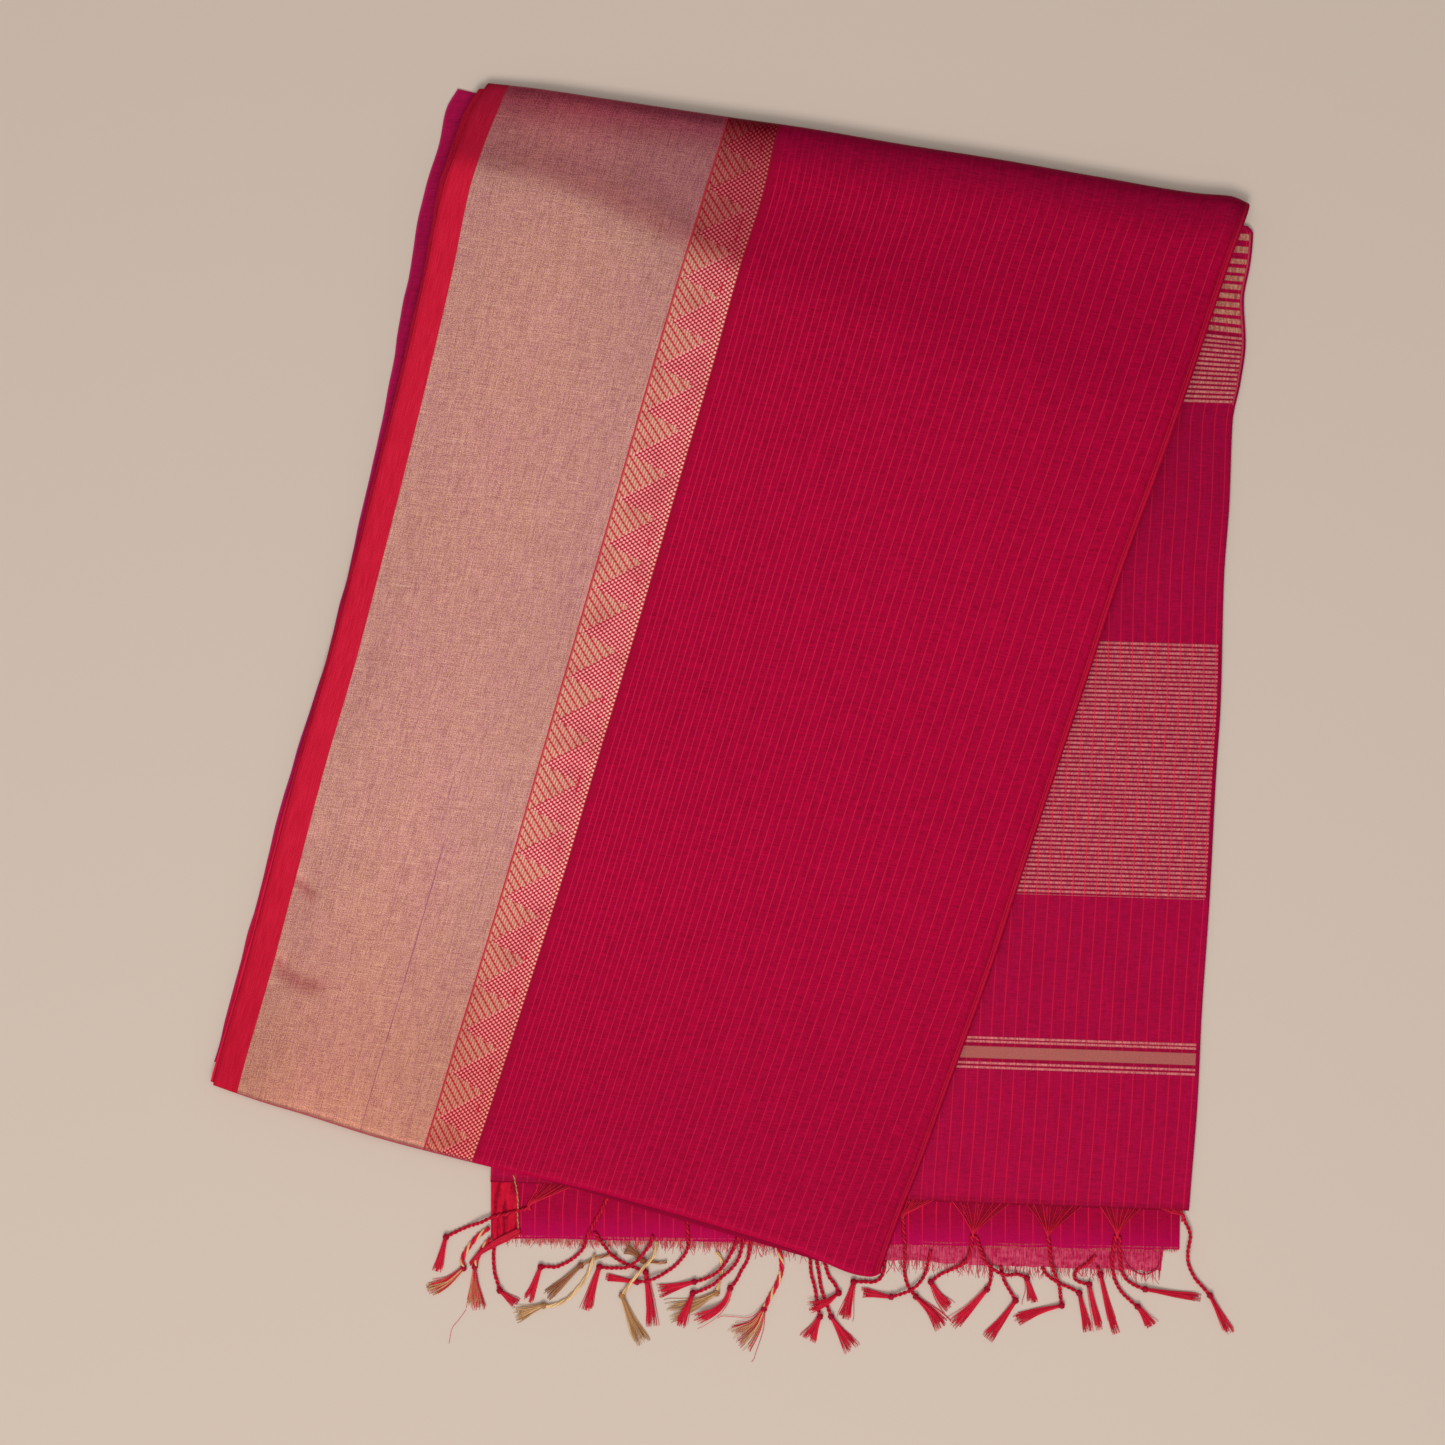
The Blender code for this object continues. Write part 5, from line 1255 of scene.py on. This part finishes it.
def edge_red(material):
    """The next layer down, whose selvedge stands out a few millimetres beside the panel's."""
    shares = np.linspace(0, 1, 150)
    far_angles = (40, 20)
    front_angles = (22, 45)
    along = np.concatenate((np.zeros(len(far_angles)), shares, np.ones(len(front_angles)))) * RED_LENGTH
    proud = PROUD_CURVE(along) + 0.0006 * value_noise(0.0, along, 0.018, 21)
    grid = []
    weave = []
    for share in (0.0, 0.1, 0.3, 0.6, 1.0):
        across = -proud + share * (RED_LAYER_ACROSS + proud)
        points, reach = pile_grid(across, LAYER + 0.0002, far_angles, shares, front_angles)
        rows = np.arange(len(across))
        grid.append(points[rows, rows])
        weave.append(np.stack((across + RED_MARGIN, reach[rows, rows]), axis=1))
    return cloth("edge_red", grid, weave, material, ["edge_layer_red"])


def edge_sheer(material):
    """The lowest layer of the pile, which lies on the floor beside the plies."""
    edge = Curve([(y, x) for x, y in SHEER_EDGE])
    ys = np.linspace(SHEER_EDGE[0][1], SHEER_EDGE[-1][1], 180)
    down = (ys[0] - ys) / (ys[0] - ys[-1])
    left = edge(ys) + 0.0007 * value_noise(0.3, ys, 0.022, 31)
    ply_y = PLY_LEFT_FAR[1] + down * (PLY_LEFT_FRONT[1] + 0.012 - PLY_LEFT_FAR[1])
    right = ply_left(ply_y) - SHEER_CLEAR_OF_PLIES
    grid = []
    weave = []
    for share in stretches(((0.0, SHEER_SHOWN, 12), (SHEER_SHOWN, 1.0, 9))):
        x = left + share * (right - left)
        y = ys + share * (ply_y - ys)
        shown = 1.0 if share < SHEER_SHOWN else 0.0
        z = PLAIN_LOWER_Z + WALL + shown * (0.0004 * value_noise(x, y, 0.02, 32) + 0.0002)
        grid.append(np.stack((x, y, z), axis=1))
        weave.append(np.stack((x - left, SHEER_EDGE[0][1] - y), axis=1))
    return cloth("edge_sheer", grid, weave, material, ["edge_layer_sheer"])


# How many folds show at the pile's sides, and how many points each of them has there.
INNER_FOLDS = 7
FOLD_POINTS = 4


def inner_layers(material):
    """The hidden layers: one pillow under the panel, grooved at both sides like stacked folds."""
    under_red = 2 * WALL + 3 * CLEARANCE
    ends = np.array([-1.0] * 3 + [0.0] * 90 + [1.0] * 2)
    shares = np.concatenate(((0.25, 0.45, 0.75), np.linspace(0, 1, 90), (0.70, 0.40)))
    distance = np.linspace(0, 0.9, len(ends))
    open_side = np.where((ends == 0.0) & (shares > 0.02) & (shares < 0.975), 1.0, 0.0)
    inner_across = stretches(((0.012, 0.110, 9), (0.110, 0.556, 16)))
    turns = np.linspace(0, 1, INNER_FOLDS * FOLD_POINTS + 1)

    def column(across, depth, height):
        """One lengthwise line of the pillow, at a share of the way from its top to its underside."""
        across = across + 0 * shares
        run = thread_ends(across)[2]
        nose = np.where(ends < 0, FAR_NOSE, FRONT_NOSE)
        margin = depth + 2 * CLEARANCE
        inset = nose - (nose - margin) * (1 - shares)
        along = np.where(ends == 0, FAR_NOSE + shares * (run - FAR_NOSE - FRONT_NOSE),
                         np.where(ends < 0, inset, run - inset))
        shoulder = np.where(ends == 0, along, np.where(ends < 0, nose, run - nose))
        base = pile_base(*plan(across, shoulder))
        top = pile_top(across, shoulder) - np.where(ends == 0, depth, CLEARANCE)
        half = (top - base) / 2
        squeeze = np.sqrt(np.maximum(0.0, 1 - ((nose - inset) / (nose - margin)) ** 2))
        bulge = np.where(ends == 0, half, (half - margin) * squeeze)
        x, y = plan(across, along)
        return np.stack((x, y, base + half + bulge * (1 - 2 * height)), axis=1)

    def side(start, way, depth, seed, reach_least, reach_lobe, reach_noise, heights):
        """The lengthwise lines of one side, which stands out at each fold and is drawn in between them."""
        lines = []
        for t, height in zip(turns, heights):
            layer = int(min(t * INNER_FOLDS, INNER_FOLDS - 0.001))
            reach = reach_least + reach_lobe * abs(math.sin(math.pi * t * INNER_FOLDS))
            reach = reach + reach_noise * value_noise(layer * 3.1, distance, 0.16, seed)
            reach = np.maximum(reach, 0.0) * open_side * math.sin(math.pi * t) ** 0.25
            lines.append(column(start + way * reach, depth, height))
        return lines

    lines = [column(a, under_red if a < 0.05 else LAYER, 0.0) for a in inner_across]
    lines += side(inner_across[-1], 1, LAYER, 41, 0.004, 0.0035, 0.0022, turns)
    lines += [column(a, under_red if a < 0.05 else LAYER, 1.0) for a in inner_across[::-1]]
    lines += side(inner_across[0], -1, under_red, 42, 0.002, 0.0028, 0.0020, 1 - turns)
    count = len(inner_across)
    heights = np.concatenate((np.zeros(count), 0.1 + turns * 0.02, np.zeros(count), 0.1 + turns * 0.02))
    piece = Piece("inner_layers")
    grid = np.array(lines)
    piece.skin([piece.ring(grid[:, k], [(height, distance[k]) for height in heights])
                for k in range(len(ends))])
    return piece.build(material, ["bundle_core"], sharp=70)


# The plies at the right.

# How much the pallu's weft bars rise to the left, at heights in the photograph's pixels.
SLOPE_AT = (240, 300, 325, 370, 405, 700, 1200)
BAR_SLOPE = (0.085, 0.085, 0.115, 0.06, 0.026, 0.03, 0.036)

# The columns of a ply, as shares of the way from the hidden left line to the right edge, and its rows by
# their y at that edge.
OVERS = ((0.0, 0.5, 12), (0.5, 0.96, 40), (0.96, 1.0, 9))
CRUMPLED_OVERS = ((0.0, 0.05, 16), (0.05, 0.5, 11), (0.5, 0.96, 40), (0.96, 1.0, 9))
RIGHTS = ((PALLU_RIGHT[0][1], 0.385, 5), (0.385, PALLU_RIGHT[-2][1], 185))
END_ROWS = 12

# How far the left line goes towards the ply's end, how high the surface lies above the ply's underside, and
# the length and height of its waves.
LEFT_REACH = 0.96
PLY_SURFACE = 0.75 * WALL
PLY_WAVE = 0.03
PLY_WAVE_HEIGHT = 0.00025


def flat_cloth(name, end, inset, z, rough_edge, material, node, seed, crumple=0.0):
    """One of the plies: a grid between the hidden left line and the wavy right edge."""
    end_curve = Curve(end)
    rights = stretches(RIGHTS)
    far = rights[0]
    right_x = PALLU_RIGHT_CURVE(rights) - inset
    down = (far - rights) / (far - rights[-1])
    shares = np.linspace(0, 1, END_ROWS + 1)[1:]
    grid = []
    weave = []
    place = []
    fold = []
    for over in stretches(CRUMPLED_OVERS if crumple else OVERS):
        end_x = end[0][0] + over * (end[-1][0] - end[0][0])
        end_y = float(end_curve(end_x))
        left_y = PLY_LEFT_FAR[1] + LEFT_REACH * down * (end_y - PLY_LEFT_FAR[1])
        left_x = np.maximum(ply_left(left_y), end[0][0])
        x = left_x + over * (right_x - left_x)
        y = left_y + over * (rights - left_y)
        ragged = rough_edge * value_noise(end_x, 0.2, 0.004, seed) * (shares == 1.0)
        x = np.concatenate((x, x[-1] + shares * (end_x - x[-1])))
        y = np.concatenate((y, y[-1] + shares * (end_y + ragged - y[-1])))
        from_edge = PALLU_RIGHT_CURVE(y) - inset - x
        slope = np.interp(ORIGIN_Y - y / PIXEL, SLOPE_AT, BAR_SLOPE)
        from_left = x - end[0][0]
        from_end = y - end_y
        wave = PLY_WAVE_HEIGHT * value_noise(x, y, PLY_WAVE, seed + 1) + PLY_WAVE_HEIGHT
        if crumple:
            loose = smooth((SELVEDGE_STRIP + 0.002 - from_left) / 0.004) * smooth((0.075 - from_end) / 0.02)
            wave = wave + loose * crumple * (0.4 + value_noise(x * 1.6, y * 0.7, 0.007, seed + 2))
        grid.append(np.stack((x, y, z + PLY_SURFACE + wave), axis=1))
        weave.append(np.stack((from_edge, far - (y - slope * from_edge)), axis=1))
        place.append(np.stack((from_left, from_end), axis=1))
        # How far beyond the front fold a point lies, which the plain end's painted light reads.
        beside_fold = np.where(x > FRONT_EDGE[-1][0], 0.05, FRONT_CURVE(x) - y)
        fold.append(np.stack((beside_fold, 0 * x), axis=1))
    return cloth(name, grid, weave, material, [node], maps={"place": place, "fold": fold})


# Threads.

def threads_piece(name, threads, material, node, sides=5):
    """Many fine threads in one piece."""
    piece = Piece(name)
    for thread in threads:
        tube(piece, thread, sides)
    return piece.build(material, [node])


# The fans: how far the threads' roots stray, the width of the gathered tips, the radii of the outermost
# bright strands, of the other ones and of the fine dark threads, and how much deeper these start.
FAN_STRAY = 0.0008
FAN_TIP = 0.0028
OUTER_RADIUS = 0.00052
STRAND_RADII = (0.00032, 0.00044)
FINE_RADII = (0.00020, 0.00024)
FINE_DEPTH = 0.0004

# The frayed edges: the share of threads that gather into tufts, and a thread's radius at both ends.
TUFTED_SHARE = 0.36
FRAY_RADII = (0.00020, 0.00012)


def fan_threads(fans, strands, fillers, seed):
    """Strands that leave the woven end side by side, gather into one point and run on a little way together.

    Bright strands carry on the warp stripes, and many fine dark ones lie between and under them.
    """
    draw = random.Random(seed)
    end = Curve(PALLU_END)
    threads = []
    for first, last, tip_x, tip_y in fans:
        middle = (first + last) / 2
        for i in range(strands + fillers):
            bright = i < strands
            share = i / (strands - 1) if bright else (i - strands + 0.5) / fillers
            x = first + (last - first) * share + draw.uniform(-FAN_STRAY, FAN_STRAY)
            y = float(end(x)) + 0.0015
            spread = (share - 0.5) * FAN_TIP
            z = PALLU_Z + WALL - (0.0 if bright else FINE_DEPTH)
            half_x = x + (tip_x + spread - x) * 0.50 + draw.uniform(-0.0005, 0.0005) + (middle - x) * 0.04
            half_y = y + (tip_y - y) * 0.47
            rise = 0.0006 * math.sin(math.pi * share)
            points = spline([(x, y, z), (half_x, half_y, z - 0.0005 + rise / 2),
                             (tip_x + spread, tip_y + 0.002, UPPER + rise - (0.0 if bright else 0.0006)),
                             (tip_x + spread * 0.8, tip_y - 0.003, UPPER + rise * 0.6)], 0.0018)
            if bright:
                radius = OUTER_RADIUS if i in (0, strands - 1) else draw.uniform(*STRAND_RADII)
                threads.append((points, radius * 0.85, radius, draw.uniform(0.35, 0.85)))
            else:
                threads.append((points, *FINE_RADII, draw.uniform(0.05, 0.30)))
    return threads


def fray_threads(rows, end, z):
    """Loose threads along a cut edge, some of them gathered into tufts where the cloth's stripes end."""
    curve = Curve(end)
    threads = []
    for first, last, count, length, seed, tuft in rows:
        draw = random.Random(seed)
        for i in range(count):
            x = first + (last - first) * (i + draw.uniform(0.0, 1.0)) / count
            reach = length * draw.uniform(0.35, 1.0)
            if tuft and draw.random() < TUFTED_SHARE:
                x = (round(x / tuft) + draw.uniform(-0.10, 0.10)) * tuft
                reach = length * draw.uniform(0.8, 1.4)
            y = float(curve(x))
            lean = draw.gauss(0.0, 0.25) * reach
            root = z + WALL * 0.6
            low = max(0.0002, root - draw.uniform(0.1, 0.7) * WALL)
            places = [(x, y + 0.0025, root + 0.0004), (x + lean * 0.25, y - reach * 0.45, (root + low) / 2),
                      (x + lean, y - reach, low)]
            threads.append((spline(places, 0.0025), *FRAY_RADII, draw.random()))
    return threads


def twisted(points, radius, offset, pitch, shades):
    """The plies of a cord that runs through the points, one for each shade, as separate threads."""
    route = spline(points, CORD_STEP)
    _, side, up = frames(route)
    lengths = lengths_along(route)
    plies = []
    for ply, shade in enumerate(shades):
        angle = 2 * math.pi * (lengths / pitch + ply / len(shades))
        line = route + offset * (np.cos(angle)[:, None] * side + np.sin(angle)[:, None] * up)
        line[:, 2] = np.maximum(line[:, 2], radius)
        plies.append((line, radius, radius, shade))
    return plies


def gathered_strip():
    """The red strip's own threads, gathered into one loose bundle that lies across its lower end."""
    draw = random.Random(86)
    heights = (UPPER, UPPER + 0.0004, UPPER, OVER - 0.0008, LAID)
    threads = []
    for i in range(GATHERED_THREADS):
        share = (i + 0.5) / GATHERED_THREADS * 2 - 1
        places = [(px + share * half * 0.3, py + share * half)
                  for (px, py), half in zip(GATHERED, GATHERED_HALF)]
        line = [(x, y, z + draw.uniform(0.0, 0.0010) * (1 - abs(share)))
                for (x, y, _), z in zip(from_pixels(places, 0.0), heights)]
        threads.append((spline(line, 0.002), GATHERED_RADIUS, GATHERED_RADIUS, draw.uniform(0.05, 0.40)))
    return threads


def from_pixels(places, z):
    """Points at one height, from the photograph's pixels."""
    return [((px - ORIGIN_X) * PIXEL, (ORIGIN_Y - py) * PIXEL, z) for px, py in places]


def placed(point, heights=None):
    """A point of the tassels' table in metres, at the height that it names or else on the floor."""
    x, y, z = (*point, LAID)[:3]
    return x * MM, y * MM, heights[z] if heights else z


def knot(piece, centre, ahead, shade):
    """A wound knot: a ball with its thread's turns standing out of it."""
    side = np.array((ahead[1], -ahead[0], 0.0))
    side /= max(np.linalg.norm(side), 1e-9)
    up = np.cross(side, ahead)
    rings = []
    for i in range(KNOT_RINGS):
        polar = math.pi * (i + 0.5) / KNOT_RINGS
        points = []
        woven = []
        for j in range(KNOT_SIDES):
            angle = 2 * math.pi * j / KNOT_SIDES
            turn = math.sin(KNOT_TURNS * 2 * polar + 2 * angle)
            out = KNOT_RADIUS * math.sin(polar) * (1 + KNOT_RELIEF * turn)
            points.append(centre - ahead * KNOT_RADIUS * KNOT_LONG * math.cos(polar)
                          + out * (math.cos(angle) * side + KNOT_FLAT * math.sin(angle) * up))
            # Painted shade: the turns are lighter where they stand out and darker between them.
            woven.append((shade * (0.8 + 0.2 * turn), polar * KNOT_RADIUS))
        rings.append(piece.ring(points, woven))
    piece.skin(rings)


def brush_threads(path, half_width, tint, shades, draw):
    """The loose threads below a knot: locks that bend and end each in their own way."""
    _, path_side, _ = frames(path)
    steps = len(path)
    shares = np.linspace(0, 1, steps)
    darkest, lightest = shades
    threads = []
    for lock in range(LOCKS):
        lock_spread = ((lock + 0.5) / LOCKS * 2 - 1) * 0.86 + draw.uniform(-0.10, 0.10)
        lock_bend = draw.uniform(-1, 1) * 0.0006
        lock_reach = draw.uniform(0.86, 1.0)
        lock_level = draw.uniform(0.1, 0.9)
        for _ in range(LOCK_THREADS):
            spread = lock_spread + draw.gauss(0.0, 0.16)
            reach = lock_reach * draw.uniform(0.84, 1.05)
            if draw.random() < 0.06:
                spread *= 1.5
                reach = 1.05
            level = min(max(lock_level + draw.uniform(-0.4, 0.4), 0.0), 1.0)
            bend = draw.uniform(-1, 1) * 0.0005
            phase = draw.uniform(0, 2 * math.pi)
            opening = np.minimum(shares * 1.1, 1.0) ** 1.35
            half = BRUSH_ROOT + (BRUSH_SPREAD * half_width - BRUSH_ROOT) * opening
            offset = spread * half + lock_bend * shares ** 2 + bend * np.sin(shares * 6 + phase) * shares
            line = path + path_side * offset[:, None]
            stack = (1 - 0.45 * abs(min(max(spread, -1), 1))) * level
            line[:, 2] = line[:, 2] - 0.0004 + stack * (0.0026 - 0.0013 * shares)
            line[:, 2] = np.maximum(line[:, 2], BRUSH_RADIUS)
            count = max(4, min(steps, int(round(steps * reach))))
            shade = darkest + (lightest - darkest) * draw.random()
            if tint == "mixed":
                shade = 0.5 * shade if (lock % 2 == 0) == (draw.random() < 0.8) else 0.5 + 0.4 * shade
            threads.append((line[:count], BRUSH_RADIUS, BRUSH_RADIUS * 0.6, shade))
    return threads


def tassel(number, row, materials):
    """One tassel: the plies of its cord, the knot and the brush, and a stray thread below one of them."""
    tint, width, cord, knot_at, brush = row
    slot, (radius, offset, pitch), ply_shades, brush_shades = TINTS[tint]
    draw = random.Random(100 + number)
    piece = Piece(f"tassel_{number:02d}_thread")
    knot_centre = np.array((knot_at[0] * MM, knot_at[1] * MM, KNOT_Z))
    ends = [placed(point) for point in cord] + [tuple(knot_centre)]
    for thread in twisted(ends, radius, offset, pitch, ply_shades):
        tube(piece, thread, CORD_SIDES)
    ahead = knot_centre - np.array(spline(ends, CORD_STEP)[-3])
    knot(piece, knot_centre, ahead / np.linalg.norm(ahead), KNOT_SHADE)

    hanging = [placed(point, BRUSH_Z) for point in brush]
    way_out = np.array(hanging[0]) - knot_centre
    way_out[2] = 0.0
    way_out /= np.linalg.norm(way_out)
    path = spline([tuple(knot_centre + BRUSH_START * way_out)] + hanging, BRUSH_STEP)
    for thread in brush_threads(path, width * MM / 2, tint, brush_shades, draw):
        tube(piece, thread, BRUSH_SIDES)
    if number == STRAY_AT:
        tube(piece, (spline(from_pixels(STRAY, 0.0006), 0.002), 0.00016, 0.00016, 0.45), 4)
    return piece.build(materials[tint], [f"tassel_{number:02d}"])


# Floor, light and camera.

FLOOR_HALF = 4.0
FLOOR_GAP = 0.0002


def floor():
    mesh = bpy.data.meshes.new("floor")
    corners = [(x * FLOOR_HALF, y * FLOOR_HALF, 0) for x, y in ((-1, -1), (1, -1), (1, 1), (-1, 1))]
    mesh.from_pydata(corners, [], [(0, 1, 2, 3)])
    plane = bpy.data.objects.new("floor", mesh)
    plane.location.z = -FLOOR_GAP
    bpy.context.scene.collection.objects.link(plane)
    material = bpy.data.materials.new("floor_paint")
    material.use_nodes = True
    shader = material.node_tree.nodes["Principled BSDF"]
    shader.inputs["Base Color"].default_value = srgb(206, 189, 175)
    shader.inputs["Roughness"].default_value = 0.8
    shader.inputs["Specular IOR Level"].default_value = 0.2
    mesh.materials.append(material)


def area_light(name, place, aim, size, energy, colour):
    data = bpy.data.lights.new(name, "AREA")
    data.shape = "RECTANGLE"
    data.size = size[0]
    data.size_y = size[1]
    data.energy = energy
    data.color = colour
    lamp = bpy.data.objects.new(name, data)
    lamp.location = place
    bpy.context.scene.collection.objects.link(lamp)
    way = Vector(aim) - lamp.location
    lamp.rotation_euler = way.to_track_quat("-Z", "Y").to_euler()


def lights():
    area_light("key", (-0.6, -3.4, 4.6), (0.0, 0.0, 0.0), (2.4, 2.0), 168.0, (1.0, 0.965, 0.93))
    area_light("overhead", (-0.1, -0.20, 3.2), (-0.1, -0.20, 0.0), (2.8, 3.2), 38.0, (1.0, 0.98, 0.96))
    world = bpy.data.worlds.new("studio")
    world.use_nodes = True
    world.node_tree.nodes["Background"].inputs["Color"].default_value = (0.95, 0.97, 1.0, 1.0)
    world.node_tree.nodes["Background"].inputs["Strength"].default_value = 0.32
    bpy.context.scene.world = world


def camera():
    data = bpy.data.cameras.new("camera")
    data.sensor_width = SENSOR
    data.lens = SENSOR * CAMERA_HEIGHT / VIEW_WIDTH
    data.clip_end = 20.0
    eye = bpy.data.objects.new("camera", data)
    eye.location = (CAMERA_X, CAMERA_Y, PLANE_Z + CAMERA_HEIGHT)
    bpy.context.scene.collection.objects.link(eye)
    bpy.context.scene.camera = eye


def main():
    camera()
    floor()
    lights()
    bpy.context.scene.view_settings.view_transform = "Standard"

    panel = top_cloth(panel_material())
    red = edge_red(plain_material("red_selvedge_weave", srgb(136, 12, 35), srgb(172, 18, 44),
                                  rim=srgb(206, 26, 58)))
    sheer = edge_sheer(sheer_edge_material())
    inner_layers(plain_material("inner_layers_weave", srgb(132, 8, 46), srgb(168, 10, 56)))
    pallu = flat_cloth("pallu_cloth", PALLU_END, 0.0, PALLU_Z, 0.0002, pallu_material(),
                       "pallu_front", 51)
    upper = flat_cloth("plain_upper_cloth", UPPER_END, UPPER_INSET, PLAIN_UPPER_Z, 0.0008,
                       plain_upper_material(), "plain_end_upper", 61, CRUMPLE)
    lower = flat_cloth("plain_lower_cloth", LOWER_END, LOWER_INSET, PLAIN_LOWER_Z, 0.0012,
                       sheer_lower_material(), "plain_end_lower", 71)

    silks = {
        "red": thread_material("red_thread_silk"),
        "gold": thread_material("gold_thread_silk", srgb(156, 98, 60), srgb(252, 212, 152)),
        "tan": thread_material("tan_thread_silk", srgb(130, 66, 44), srgb(208, 154, 110)),
        "mixed": thread_material("red_and_gold_silk", second=(srgb(160, 100, 60), srgb(242, 196, 138))),
    }

    # The red threads of a piece in two colours take the lower half of its shades.
    fans = fan_threads(LEFT_FANS, strands=7, fillers=24, seed=81)
    left = [(points, root, tip, shade * 0.49) for points, root, tip, shade in fans]
    left += twisted(from_pixels(GOLD_LINE, GOLD_LINE_Z), *GOLD_LINE_PLIES)
    left += gathered_strip()
    right = fan_threads(RIGHT_FANS, strands=8, fillers=34, seed=82)
    fringe = [threads_piece("pallu_threads_left", left, silks["mixed"], "fringe_strip_left"),
              threads_piece("pallu_threads_right", right, silks["red"], "fringe_strip_right")]

    silk = thread_material("upper_fray_silk", srgb(196, 24, 66), srgb(240, 136, 118))
    fray_upper = threads_piece("fray_upper", fray_threads(UPPER_FRAY, UPPER_END, PLAIN_UPPER_Z), silk,
                               "frayed_strip_upper", sides=4)
    silk = thread_material("lower_fray_silk", srgb(190, 12, 66), srgb(240, 92, 118))
    threads = fray_threads(LOWER_FRAY, LOWER_END, PLAIN_LOWER_Z)
    threads += twisted(from_pixels(LOOP, LOOP_Z), *LOOP_PLIES)
    fray_lower = threads_piece("fray_lower", threads, silk, "frayed_strip_lower", sides=4)

    fringe += [tassel(number, row, silks) for number, row in enumerate(TASSELS, 1)]


main()
